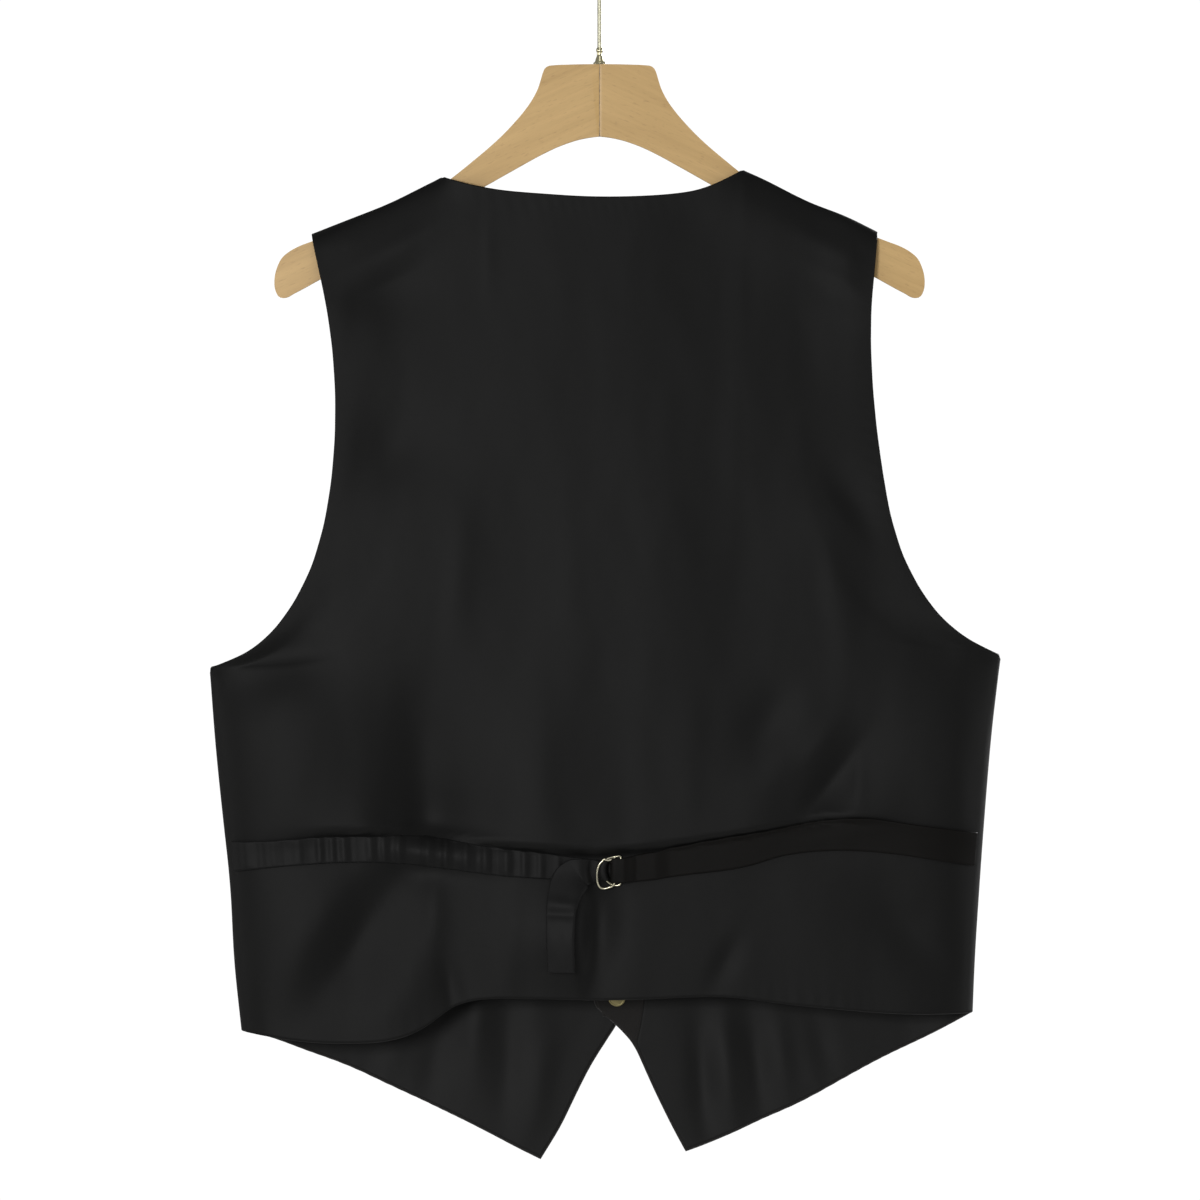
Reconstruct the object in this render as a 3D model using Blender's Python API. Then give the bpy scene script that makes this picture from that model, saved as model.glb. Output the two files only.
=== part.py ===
# A man's suit waistcoat, buttoned, hanging on a flat wooden hanger.
# The origin is the top of the hook's inside. +Z is up, the wearer faces +Y, and so the back faces -Y
# and the wearer's left is at -X. Lengths are in millimetres here, and in metres in the meshes.
# A cloth piece is a wall about a skin. A skin is a function that gives y for each (x, z).

import math

import bmesh
import bpy
import numpy as np
from mathutils.bvhtree import BVHTree

MM = 0.001

# ---- driving dimensions
GAP = 0.3                # between two pieces that touch
LINING_GAP = 0.5         # between a front and its lining
FACING_GAP = 0.6
BACK_WALL = 1.4          # satin on its lining
FRONT_WALL = 2.0         # suiting on its canvas
LINING_WALL = 1.0
STRAP_WALL = 1.2
SHOULDER_ROUND = 8.6     # radius of the cloth over the hanger's board
SIDE_ROUND = 55.0        # how far in from a side seam the cloth is full
ARMHOLE_EASE = 0.4       # share of the depth by which an armhole's edge draws in, over ARMHOLE_BAND
ARMHOLE_BAND = 50.0
ARMHOLE_RUN = 60.0       # height over which that starts above the underarm, and ends below the shoulder
SHOULDER_CALM = -240.0   # no ease above this
LAP = 1.9                # each front's share of the step where they overlap
LAP_WIDTH = 34.0         # half the width of the overlap, with its approach
FOLD_MARGIN = 22.0       # folds fade out this near to a side seam or an armhole
FOLD_START = 24.0        # and start this far below the shoulder line, fully after FOLD_RUN
FOLD_RUN = 40.0
HEM_ALLOWANCE = 1.4      # a lining ends this far inside the edge of its front
SEAM_COLUMNS = 5         # columns of the right lining that close up at the facing's seam
FACING_CORNER = (-0.3, 0.4)  # from the seam's foot to the facing's own corner
CLEAR_OF_ALL = 500.0     # how far out a line towards the back's faces starts
BORDER_SHARE = 0.3       # how far in, towards the next row, a border's slope is taken

# ---- outlines: rows of x, z, from the hem up or from the wearer's left to right
LEFT_SEAM = [(-242.4, -752), (-247.3, -705.5), (-250.3, -651), (-254.8, -610), (-260.3, -556),
             (-264, -506.5)]
RIGHT_SEAM = [(252.6, -739.5), (254, -705.5), (257.2, -655), (261.5, -596.5), (265.5, -550), (271.7, -498)]
LEFT_ARMHOLE = [(-264, -506.5), (-250, -501), (-227.5, -487.6), (-212, -469), (-198.9, -446.7),
                (-189.3, -419.5), (-182, -381), (-179, -337.8), (-180.4, -297), (-186, -256),
                (-192, -228.8), (-195.4, -211.8)]
RIGHT_ARMHOLE = [(271.7, -498), (253, -488.5), (233.6, -473.9), (213.8, -446.7), (201.6, -419.5),
                 (193, -379), (186.5, -330), (184, -290), (184.5, -256), (187.3, -228.8), (188.6, -210.4)]
LEFT_SHOULDER = [(-195.4, -211.8), (-183.2, -207), (-162.8, -198.9), (-142.3, -190.7), (-121.9, -180.5),
                 (-106.9, -173)]
RIGHT_SHOULDER = [(97.4, -168.2), (113, -175), (123.3, -180.5), (143.7, -190.7), (164.1, -198.2),
                  (188.6, -210.4)]
BACK_NECK = [(-106.9, -173), (-101.8, -174.3), (-91.3, -177), (-70.8, -181.1), (-40.2, -183.9),
             (-9.5, -185.9), (21.1, -185.9), (51.8, -183.9), (72.2, -180.4), (82.4, -175.7),
             (92.6, -170.4), (97.4, -168.2)]
BACK_HEM = [(-242.4, -752), (-203.6, -758.6), (-164.1, -760), (-134, -756.6), (-117.1, -749.1),
            (-106.9, -740.9), (-96, -731.8), (-81, -730), (-40.2, -730), (0.7, -730.7), (32.7, -730),
            (89.9, -728.6), (125.3, -733.4), (160.7, -736.8), (192.7, -739.5), (220, -740.4),
            (252.6, -739.5)]

FRONT_LEFT_HEM = [(-242.4, -752), (-224, -756.6), (-203.6, -764.7), (-173, -775.6), (-142.3, -789.9),
                  (-111.7, -804.2), (-81, -819.2), (-60.6, -830.1), (-40.2, -840.3)]
FRONT_LEFT_CUTAWAY = [(-40.2, -840.3), (-30, -824.7), (-19.7, -804.2), (-9.5, -782.5), (0.7, -765.4),
                      (10.9, -750.4), (20, -733), (26, -711), (27.6, -690)]
FRONT_LEFT_EDGE = [(27.6, -690), (26.6, -600), (24, -520), (20.5, -433)]
FRONT_LEFT_NECK = [(20.5, -433), (-12, -372), (-50, -299), (-84, -226), (-103, -184), (-106.9, -173)]
FRONT_LEFT_ARMHOLE = [(-264, -506.5), (-249, -501.5), (-224, -488), (-205, -468), (-189, -440),
                      (-178, -410), (-171, -375), (-168, -335), (-170, -292), (-177.5, -252),
                      (-187, -226), (-195.4, -211.8)]
FRONT_RIGHT_HEM = [(58.6, -834.9), (72.2, -830.1), (113, -811.7), (133.5, -802.9), (153.9, -792),
                   (174.3, -780.4), (194.8, -769.5), (215.2, -760), (235.6, -749.8), (252.6, -739.5)]
FRONT_RIGHT_CUTAWAY = [(58.6, -834.9), (51.8, -822.6), (41.5, -802.2), (31.3, -780.4), (22.5, -760),
                       (12.3, -749.8), (2, -743.6), (-2, -738.5), (-4.8, -730), (-6.4, -690)]
FRONT_RIGHT_EDGE = [(-6.4, -690), (-9.8, -590), (-12.4, -510), (-14.3, -433)]
FRONT_RIGHT_NECK = [(-14.3, -433), (14, -375), (48, -300), (79, -225), (93.5, -182), (97.4, -168.2)]
FRONT_RIGHT_ARMHOLE = [(271.7, -498), (251, -489), (228, -473), (208, -449), (192, -418), (180, -380),
                       (173.5, -336), (171.5, -292), (175.5, -252), (182, -226), (188.6, -210.4)]

# What shows of the facing and the linings ends at LINING_TOP, above the back's hem.
LINING_TOP = -690.0
FACING_SEAM = [(24.6, -761), (29, -742), (30.6, -715), (31.2, LINING_TOP)]

# ---- the hang: how deep the cloth is on each side of the hanger's plane, by how far below the
# shoulder line it is. Columns: drop, back, front.
HANG = [(SHOULDER_ROUND, 8.6, 8.6), (28, 9.0, 9.0), (50, 7.9, 8.0), (90, 9.5, 9.4), (150, 13.2, 12.4),
        (230, 17.0, 15.8), (330, 19.2, 17.8), (450, 20.0, 18.6), (560, 19.6, 18.4), (700, 19.0, 18.0)]
# The line over the hanger that the cloth drops from. Columns: x, z.
HANG_LINE = ([(-215, -219.5)] + LEFT_SHOULDER + [(-101.8, -169.8), (-97.7, -165.7), (-84.1, -157.5),
             (-64.4, -141.2), (-45.3, -116.6), (-38, -98), (38, -98), (45.3, -116.6), (64.4, -141.2),
             (84.1, -156.5), (92.6, -163.6)] + RIGHT_SHOULDER + [(215, -222)])
CENTRE_FRONT = ((-4.8, -177.7), (12.3, -749.8))

# ---- folds. Columns: x, z of the middle, lean from upright in degrees, half length, half width,
# height towards -Y. A trough of the back has a negative height.
BACK_FOLDS = [
    (-130, -559, 3, 62, 18, -4.6), (-204, -549, 0, 50, 22, 3.0), (-47, -573, 0, 62, 26, 2.8),
    (148, -584, 33, 42, 14, -4.2), (126, -570, 33, 34, 14, 2.4), (177, -594, 33, 26, 14, 2.2),
    (120, -543, 10, 22, 14, -1.4), (-166, -682, 36, 52, 15, -4.2), (208, -680, -40, 46, 17, -4.0),
    (-115, -670, -5, 32, 14, 2.6), (-139, -732, 15, 34, 15, 4.6), (-100, -722, -12, 24, 11, -2.6),
    (-146, -358, 20, 24, 15, -3.0), (168, -394, -25, 24, 14, -3.0),
    (-208, -486, 40, 34, 18, -3.0), (-215, -522, 30, 30, 18, 2.0), (236, -486, -60, 26, 16, -2.6),
    (40, -470, 4, 90, 34, 1.6), (96, -430, -8, 70, 26, -1.8), (-60, -430, 6, 80, 26, -1.6)]
# The belt presses the back's folds flatter under it, along this line of x, z.
BELT_LINE = [(-250, -633), (-180, -628), (-136, -628), (-75, -636), (0, -642), (45, -637), (98, -629),
             (151, -619), (196, -619), (255, -628)]
BELT_CALM = 0.7
BELT_BAND = 16.0
LEFT_FRONT_FOLDS = [
    (-88, -740, 4, 44, 18, -1.8), (-60, -765, 4, 42, 16, 1.8), (-150, -770, 22, 34, 18, -2.2),
    (-190, -640, -12, 60, 22, 3.0), (-130, -600, 5, 70, 22, -3.0), (-140, -420, 12, 60, 22, 2.6)]
RIGHT_FRONT_FOLDS = [
    (92, -780, -5, 40, 20, 2.0), (154, -774, -16, 30, 18, 2.0), (186, -640, 12, 60, 22, 3.0),
    (128, -600, -5, 70, 22, -3.0), (140, -420, -12, 60, 22, 2.6)]

# ---- the half belt. Edge rows: x, z. Lift is the height above the bed, which is just clear of the back.
BED = 0.45
BELT_LIFT = GAP + STRAP_WALL / 2
LEFT_STRAP_TOP = [(-249, -623), (-226.8, -622.4), (-179.8, -619), (-153.9, -618.8), (-126, -619.7),
                  (-101.5, -622.4), (-75.6, -625.8), (-49.7, -628.5), (-15, -633.6), (2.5, -636.1)]
LEFT_STRAP_FOOT = [(-247.4, -643.5), (-214.5, -640.1), (-171.6, -637.4), (-136.2, -637.6), (-101.5, -641.5),
                   (-67.4, -646.2), (-32.7, -648.8), (-15, -649.8), (2.5, -648.5)]
RIGHT_STRAP_TOP = [(10.6, -634.6), (15.5, -633.9), (24, -631.6), (45, -627.2), (81, -620.4), (114.4, -615),
                   (151.9, -608.1), (178.4, -606.8), (214.5, -611.5), (255.2, -617)]
RIGHT_STRAP_FOOT = [(10.6, -649.8), (15.5, -650.4), (24, -650.1), (53.8, -646.3), (98.7, -640.1),
                    (125.3, -632.6), (160.7, -629.2), (196.8, -631.3), (225, -635.4), (253.2, -639.8)]
RIGHT_STRAP_STEPS = list(np.linspace(0, 0.84, 34)) + list(np.linspace(0.84, 1, 15)[1:])
# Columns: x, half width, height.
GATHERS = [(-238, 4.2, 0.5), (-221, 4.6, 0.4), (-204, 4.0, 0.6), (-189, 2.8, 0.8), (-181, 2.6, 0.7),
           (-173, 2.8, 0.8), (-155, 3.0, 0.8), (-146, 2.6, 0.7), (-137, 3.2, 0.8), (-116, 3.6, 0.6),
           (-104, 3.4, 0.8), (-91, 3.6, 0.7), (-77, 3.4, 0.8), (-64, 3.2, 0.7), (-51, 3.2, 0.7),
           (-40, 2.4, 0.4)]
GATHER_FULLNESS = [0.7, 0.95, 1.0, 0.9, 0.6]   # across the strap, from its upper edge
# The tail from the turn inside the rings to its free end. Columns: outer x, z, inner x, z, lift.
TAIL = [(2.5, -636.1, 2.5, -648.5, 4.8), (1.2, -636, 1.2, -648.5, 4.55), (-0.5, -635.9, -0.5, -648.6, 3.6),
        (-2.2, -635.8, -2.2, -648.8, 2.6), (-4.8, -635.2, -4.8, -649.6, 2.6),
        (-9, -634.2, -8.5, -651.6, 3.3), (-14.5, -633.8, -11, -652.8, 4.6),
        (-21, -635.2, -11.2, -653.4, 5.2),
        (-28, -640, -11.4, -655, 4.9), (-33, -649, -12, -658.5, 4.5), (-35, -662, -13.6, -665.5, 3.6),
        (-35.3, -680, -14.6, -681, 3.2), (-35, -696, -15, -696.4, 3.4), (-34.4, -710.3, -15, -709.6, 4.2)]
TAIL_STEPS = list(np.linspace(0, 0.1, 8)) + list(np.linspace(0.1, 1, 20)[1:])

# ---- D-rings. Columns: name, x of the bow, z of the middle, lift of the bow, lift of the bar.
RING_WIRE = 1.5
RING_HEIGHT = 22.0
RING_DEPTH = 12.0        # from the bow's centre line to the bar's
RING_CORNER = 1.6
RINGS = [("d_ring_a", -2.0, -641.9, 4.9, 4.5), ("d_ring_b", 2.4, -642.3, 2.85, 2.6)]
LOOP_END = 36.0          # where the right strap's end stops, folded back under the strap
LOOP_EASE = 12.0         # past that end, the strap comes down to the back over this length
LOOP_START = 5.5         # the strap is over the bars this far past its turn
LOOP_RUN = 9.0           # and comes down from them over this length
LEFT_TURN = 1.95         # radius of the left strap's turn round one bow, at the strap's middle
RIGHT_TURN = 2.75        # and of the right strap's turn round both bars
SAG_START = -12.0        # x from which the left strap follows the bow's curve, fully after SAG_RUN
SAG_RUN = 11.0
TURN_ANGLES = np.radians([-60, -30, 0, 30, 60])

# ---- buttons
BUTTON_Z = [-450, -520, -590, -660, -730]
BUTTON_PROFILE = [(0, 0), (5.6, 0), (7.1, 0.9), (7.5, 2.0), (6.9, 2.9), (5.9, 2.9), (4.9, 2.1), (0, 2.1)]
STUD_PROFILE = [(0, 0), (5.4, 0), (5.9, 0.4), (5.6, 1.0), (4.6, 1.2), (0, 1.3)]
BUTTON_LIFT = 0.5

# ---- hanger: outline of one half, from the top of the joint round to its foot. Columns: x, z.
BOARD = 14.0             # thickness
BOARD_ROUND = 4.0        # radius of its edges
HANGER_OUTLINE = [(0, -96), (20, -96.2), (33, -97.2), (37, -98.8), (39, -103), (41.2, -111.7),
                  (45.3, -119.8), (50.7, -128), (57.5, -136.2), (64.4, -144.4), (73.9, -152.5),
                  (84.1, -160.7), (95, -171.6), (103, -177.4), (122, -185), (145, -195.6), (170, -206.4),
                  (196, -216.6), (203, -219.2), (210.5, -223.2), (215.4, -227.4), (218.9, -234.2),
                  (220.6, -242.4), (219.8, -251), (218, -254.6), (214.6, -255), (206.7, -251.3),
                  (190.3, -242.4), (160, -225.3), (120, -202.7), (81, -180.7), (54.1, -165.5),
                  (40.5, -158), (27, -151.6), (13, -147), (0, -145)]
FERRULE_PROFILE = [(1.8, -95.7), (4.3, -95.7), (4.3, -94.6), (3.4, -93.4), (2.6, -89), (2.2, -84.6),
                   (1.8, -84.6)]
HOOK_WIRE = 3.0
HOOK_RADIUS = 22.0
HOOK_BEND = 8.0
HOOK_END = 205           # angle in degrees where the wire ends
HOOK_FOOT = -95.7

COLOURS = {              # colour, roughness, metallic
    "satin": ((0.014, 0.014, 0.013), 0.42, 0.0),
    "suiting": ((0.013, 0.012, 0.012), 0.85, 0.0),
    "ring_metal": ((0.72, 0.68, 0.52), 0.3, 1.0),
    "brass": ((0.20, 0.17, 0.08), 0.4, 1.0),
    "button": ((0.012, 0.011, 0.011), 0.3, 0.0),
    "wood": ((0.53, 0.36, 0.17), 0.5, 0.0),
    "hook_metal": ((0.65, 0.62, 0.48), 0.3, 1.0)}


# ---- curves and grids

def smooth(t):
    t = np.clip(t, 0.0, 1.0)
    return t * t * (3.0 - 2.0 * t)


def curve(points, fractions):
    """Points at fractions of the length of a smooth curve through points."""
    p = np.array(points, float)
    chord = np.concatenate(([0.0], np.cumsum(np.linalg.norm(np.diff(p, axis=0), axis=1))))
    tangent = np.gradient(p, chord, axis=0)
    at = np.linspace(0.0, chord[-1], 40 * len(p))
    k = np.clip(np.searchsorted(chord, at, side="right") - 1, 0, len(p) - 2)
    span = (chord[k + 1] - chord[k])[:, None]
    t = (at - chord[k])[:, None] / span
    fine = ((2 * t ** 3 - 3 * t ** 2 + 1) * p[k] + (t ** 3 - 2 * t ** 2 + t) * span * tangent[k]
            + (3 * t ** 2 - 2 * t ** 3) * p[k + 1] + (t ** 3 - t ** 2) * span * tangent[k + 1])
    length = np.concatenate(([0.0], np.cumsum(np.linalg.norm(np.diff(fine, axis=0), axis=1))))
    want = np.array(fractions) * length[-1]
    return np.stack([np.interp(want, length, fine[:, c]) for c in range(p.shape[1])], axis=1)


def even(count):
    return np.linspace(0.0, 1.0, count + 1)


def chain(*parts):
    """Joins curves that meet end to start."""
    return np.concatenate([parts[0]] + [part[1:] for part in parts[1:]])


def edge(*stretches):
    """A chain of (table, fractions) stretches."""
    return chain(*[curve(points, fractions) for points, fractions in stretches])


def inset(points, distance):
    """Moves a curve to its left by distance."""
    p = np.array(points, float)
    along = np.gradient(p, axis=0)
    along /= np.linalg.norm(along, axis=1)[:, None]
    return p + distance * np.stack([-along[:, 1], along[:, 0]], axis=1)


def share(line):
    step = np.linalg.norm(np.diff(line, axis=0), axis=1)
    return np.concatenate(([0.0], np.cumsum(step))) / step.sum()


def patch(bottom, top, left, right):
    """A grid [row, column] of (x, z) between four edges that meet at their corners."""
    u = ((share(bottom) + share(top)) / 2)[None, :, None]
    v = ((share(left) + share(right)) / 2)[:, None, None]
    return ((1 - v) * bottom[None] + v * top[None] + (1 - u) * left[:, None] + u * right[:, None]
            - (1 - u) * (1 - v) * bottom[0] - u * (1 - v) * bottom[-1]
            - (1 - u) * v * top[0] - u * v * top[-1])


# ---- skins

def profile(column):
    return curve([(row[0], row[column]) for row in HANG], even(200))


HANG_CURVES = {-1: profile(1), 1: profile(2)}
BACK_SIDES = [(curve(LEFT_SEAM, even(60)), curve(LEFT_ARMHOLE, even(90))),
              (curve(RIGHT_SEAM, even(60)), curve(RIGHT_ARMHOLE, even(90)))]
FRONT_LEFT_SIDES = [(curve(LEFT_SEAM, even(60)), curve(FRONT_LEFT_ARMHOLE, even(90)))]
FRONT_RIGHT_SIDES = [(curve(RIGHT_SEAM, even(60)), curve(FRONT_RIGHT_ARMHOLE, even(90)))]


def drop(x, z):
    line = np.array(HANG_LINE)
    return np.interp(x, line[:, 0], line[:, 1]) - z


def relief(x, z, folds):
    height = np.zeros_like(x)
    for fold_x, fold_z, lean, length, width, rise in folds:
        c, s = math.cos(math.radians(lean)), math.sin(math.radians(lean))
        along = (x - fold_x) * s + (z - fold_z) * c
        across = (x - fold_x) * c - (z - fold_z) * s
        height = height + rise * np.exp(-(along / length) ** 2 - (across / width) ** 2)
    return height


def distance(x, z, line):
    return np.hypot(x[..., None] - line[:, 0], z[..., None] - line[:, 1]).min(axis=-1)


def hang(x, z, facing, sides):
    """How far the skin is from the hanger's plane, and its distance from the nearest side edge."""
    below = drop(x, z)
    hung = HANG_CURVES[facing]
    depth = np.interp(below, hung[:, 0], hung[:, 1])
    over = 1 - np.clip(below, 0, SHOULDER_ROUND) / SHOULDER_ROUND
    depth = depth * np.sqrt(np.clip(1 - over ** 2, 0, 1))
    near = np.full(x.shape, np.inf)
    for seam, armhole in sides:
        from_seam, from_armhole = distance(x, z, seam), distance(x, z, armhole)
        depth = depth * np.sqrt(1 - (1 - np.clip(from_seam / SIDE_ROUND, 0, 1)) ** 2)
        stretch = smooth((z - seam[-1, 1]) / ARMHOLE_RUN) * smooth((SHOULDER_CALM - z) / ARMHOLE_RUN)
        depth = depth * (1 - ARMHOLE_EASE * stretch * (1 - smooth(from_armhole / ARMHOLE_BAND)))
        near = np.minimum(near, np.minimum(from_seam, from_armhole))
    return depth, near


def fold_share(x, z, near):
    return smooth(near / FOLD_MARGIN) * smooth((drop(x, z) - FOLD_START) / FOLD_RUN)


def back_skin(x, z):
    depth, near = hang(x, z, -1, BACK_SIDES)
    belt = np.array(BELT_LINE)
    from_belt = (z - np.interp(x, belt[:, 0], belt[:, 1])) / BELT_BAND
    pressed = 1 - BELT_CALM * np.exp(-from_belt ** 2)
    return -GAP / 2 - depth - relief(x, z, BACK_FOLDS) * fold_share(x, z, near) * pressed


def lap_share(x, z):
    (top_x, top_z), (foot_x, foot_z) = CENTRE_FRONT
    middle = top_x + (z - top_z) * (foot_x - top_x) / (foot_z - top_z)
    return smooth(2.0 - np.abs(x - middle) / LAP_WIDTH)


def front_left_skin(x, z):
    depth, near = hang(x, z, 1, FRONT_LEFT_SIDES)
    folds = relief(x, z, LEFT_FRONT_FOLDS) * fold_share(x, z, near)
    return GAP / 2 + depth - folds + LAP * lap_share(x, z)


def front_right_skin(x, z):
    depth, near = hang(x, z, 1, FRONT_RIGHT_SIDES)
    folds = relief(x, z, RIGHT_FRONT_FOLDS) * fold_share(x, z, near)
    return GAP / 2 + depth - folds - LAP * lap_share(x, z)


def skin_normal(skin, x, z, facing):
    step = 0.05
    slope_x = (skin(x + step, z) - skin(x - step, z)) / (2 * step)
    slope_z = (skin(x, z + step) - skin(x, z - step)) / (2 * step)
    normal = np.stack([-slope_x, np.ones_like(slope_x), -slope_z], axis=-1) * facing
    return normal / np.linalg.norm(normal, axis=-1)[..., None]


def on_skin(skin, grid, facing, lift, seams=None):
    """Points at a lift above the skin. At a seam the wall stands square to the hanger's plane."""
    x, z = grid[..., 0], grid[..., 1]
    inner = borders_in(grid)
    normal = skin_normal(skin, inner[..., 0], inner[..., 1], facing)
    if seams is not None:
        normal[seams] = seam_normals(grid)[seams]
    base = np.stack([x, skin(x, z), z], axis=-1)
    return base + normal * np.asarray(lift)[..., None]


def borders_in(grid):
    """The grid with its borders moved a little way in, where a skin has a true slope."""
    moved = grid.copy()
    if grid.ndim == 3:
        for border, beside in ((np.s_[0, :], np.s_[1, :]), (np.s_[-1, :], np.s_[-2, :]),
                               (np.s_[:, 0], np.s_[:, 1]), (np.s_[:, -1], np.s_[:, -2])):
            moved[border] += (moved[beside] - moved[border]) * BORDER_SHARE
    return moved


def seam_normals(grid):
    """Outward normals, in the hanger's plane, along the borders of a grid."""
    out = np.zeros(grid.shape[:2] + (3,))
    middle = grid.mean(axis=(0, 1))
    for border in (np.s_[0, :], np.s_[:, 0], np.s_[:, -1], np.s_[-1, :]):
        line = grid[border]
        along = np.gradient(line, axis=0)
        side = np.stack([-along[:, 1], np.zeros(len(line)), along[:, 0]], axis=1)
        side /= np.linalg.norm(side, axis=1)[:, None]
        outward = np.sign(((line - middle) * side[:, ::2]).sum())
        out[border] = side * outward
    return out


# ---- meshes and objects

def material(slot):
    made = bpy.data.materials.get(slot)
    if made is None:
        colour, roughness, metallic = COLOURS[slot]
        made = bpy.data.materials.new(slot)
        made.use_nodes = True
        shader = made.node_tree.nodes["Principled BSDF"]
        shader.inputs["Base Color"].default_value = (*colour, 1)
        shader.inputs["Roughness"].default_value = roughness
        shader.inputs["Metallic"].default_value = metallic
    return made


def add_object(name, points, faces, slot, parent, location=(0, 0, 0), rotation=(0, 0, 0)):
    mesh = bpy.data.meshes.new(name)
    mesh.from_pydata([tuple(float(c) * MM for c in point) for point in points], [], faces)
    shape = bmesh.new()
    shape.from_mesh(mesh)
    bmesh.ops.recalc_face_normals(shape, faces=shape.faces)
    shape.to_mesh(mesh)
    shape.free()
    mesh.shade_smooth()
    mesh.set_sharp_from_angle(angle=math.radians(50))
    mesh.materials.append(material(slot))
    made = bpy.data.objects.new(name, mesh)
    made.location = [c * MM for c in location]
    made.rotation_euler = rotation
    made.parent = parent
    bpy.context.scene.collection.objects.link(made)
    return made


def outer_faces(made):
    """A piece's faces, in millimetres, to lay other pieces on."""
    mesh = made.data
    points = [tuple(c / MM for c in vertex.co) for vertex in mesh.vertices]
    return BVHTree.FromPolygons(points, [tuple(face.vertices) for face in mesh.polygons])


def wall_mesh(outer, inner):
    """A closed wall between two grids [row, column, xyz]. Each cell is cut the same way in every layer."""
    rows, columns = outer.shape[:2]
    points = np.concatenate([outer.reshape(-1, 3), inner.reshape(-1, 3)])
    count = rows * columns
    faces = []
    for r in range(rows - 1):
        for c in range(columns - 1):
            a = r * columns + c
            far = a + columns + 1
            for corners in ((a, a + 1, far), (a, far, a + columns)):
                faces.append(corners)
                faces.append(tuple(count + i for i in reversed(corners)))
    border = [c for c in range(columns)]
    border += [r * columns + columns - 1 for r in range(1, rows)]
    border += [(rows - 1) * columns + c for c in range(columns - 2, -1, -1)]
    border += [r * columns for r in range(rows - 2, 0, -1)]
    for a, b in zip(border, border[1:] + border[:1]):
        faces.append((b, a, count + a, count + b))
    return points, faces


def cloth(name, grid, skin, facing, thickness, slot, lift=0.0, seams=None):
    outer = on_skin(skin, grid, facing, lift + thickness / 2, seams)
    inner = on_skin(skin, grid, facing, lift - thickness / 2, seams)
    points, faces = wall_mesh(outer, inner)
    return add_object(name, points, faces, slot, garment)


def ribbon(name, sections, bed):
    """A strap on the back: a grid of (x, z, lift) with its wall in that space, laid on the back's faces."""
    along = np.gradient(sections, axis=0)
    across = np.gradient(sections, axis=1)
    normal = np.cross(along, across)
    normal /= np.linalg.norm(normal, axis=-1)[..., None]
    sides = [on_faces(bed, sections + normal * offset) for offset in (STRAP_WALL / 2, -STRAP_WALL / 2)]
    points, faces = wall_mesh(*sides)
    return add_object(name, points, faces, "satin", garment)


def on_faces(bed, spots):
    """Points at (x, z, lift) over the back's outer faces, which a line along +Y meets first."""
    x, z = spots[..., 0], spots[..., 1]
    normal = skin_normal(back_skin, x, z, -1)
    placed = np.empty(spots.shape)
    for place in np.ndindex(x.shape):
        hit, facet = bed.ray_cast((x[place], -CLEAR_OF_ALL, z[place]), (0, 1, 0))[:2]
        way = normal[place] + np.array(facet)
        way /= way @ np.array(facet)
        placed[place] = np.array(hit) + way * (BED + spots[place][2])
    return placed


def turned(name, shape, sides, slot, parent, **place):
    """A solid of revolution about Z. The shape is rows of radius, z, closed at the axis or on itself."""
    points, rings = [], []
    for radius, z in shape:
        count = sides if radius > 0 else 1
        rings.append([len(points) + i for i in range(count)])
        angles = [2 * math.pi * i / count for i in range(count)]
        points += [(radius * math.cos(a), radius * math.sin(a), z) for a in angles]
    pairs = list(zip(rings, rings[1:]))
    if shape[0][0] > 0:
        pairs.append((rings[-1], rings[0]))
    faces = []
    for low, high in pairs:
        for i in range(sides):
            j = (i + 1) % sides
            corners = [low[i % len(low)], low[j % len(low)], high[j % len(high)], high[i % len(high)]]
            faces.append(tuple(dict.fromkeys(corners)))
    return add_object(name, points, faces, slot, parent, **place)


def wire(name, points, thickness, closed, slot, parent):
    """A round wire along points, with its origin in their middle."""
    middle = np.mean(points, axis=0)
    data = bpy.data.curves.new(name, "CURVE")
    data.dimensions = "3D"
    data.bevel_depth = thickness / 2 * MM
    data.bevel_resolution = 2
    data.use_fill_caps = not closed
    line = data.splines.new("POLY")
    line.points.add(len(points) - 1)
    for knot, point in zip(line.points, points):
        knot.co = (*[(c - m) * MM for c, m in zip(point, middle)], 1)
    line.use_cyclic_u = closed
    line.use_smooth = True
    data.materials.append(material(slot))
    made = bpy.data.objects.new(name, data)
    made.location = [c * MM for c in middle]
    made.parent = parent
    bpy.context.scene.collection.objects.link(made)
    return made


# ---- the garment's pieces

# Fractions along an edge. A side that turns in to its seam needs its columns close together there.
BACK_ROUND = [0, 0.004, 0.015, 0.04, 0.074, 0.112]
FRONT_ROUND = [0, 0.007, 0.027, 0.073, 0.135, 0.204]
SHOULDER_STEPS = [0, 0.045, 0.15, 0.31, 0.48, 0.65, 0.82, 1]
NECK_STEPS = [0, 0.026, 0.08] + list(np.linspace(0.16, 0.84, 13)) + [0.92, 0.974, 1]
TOP_ROWS = [0.9, 0.936, 0.966, 0.984, 0.995, 1]
BACK_ARMHOLE_STEPS = [0, 0.007, 0.025, 0.058, 0.1, 0.16, 0.23, 0.31, 0.4, 0.49, 0.58, 0.67, 0.76, 0.84]
BACK_ARMHOLE_STEPS += TOP_ROWS
FRONT_ARMHOLE_STEPS = [0, 0.012, 0.035, 0.07, 0.12, 0.19, 0.3, 0.43, 0.56, 0.7, 0.82] + TOP_ROWS
UNDERARM_LEVEL = 0.68    # how far up the lapped edge the underarm's row ends
LAPPED_ROWS = 5          # rows from there to the neck's start
LINING_SHARE = 0.27      # of the side seam's length, up to the linings' top
FRONT_EDGE_LEVELS = [-818, -796, -777, -761, -749.5, -736, -714, -690]
LINING_ROWS = len(FRONT_EDGE_LEVELS) + 1


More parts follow.
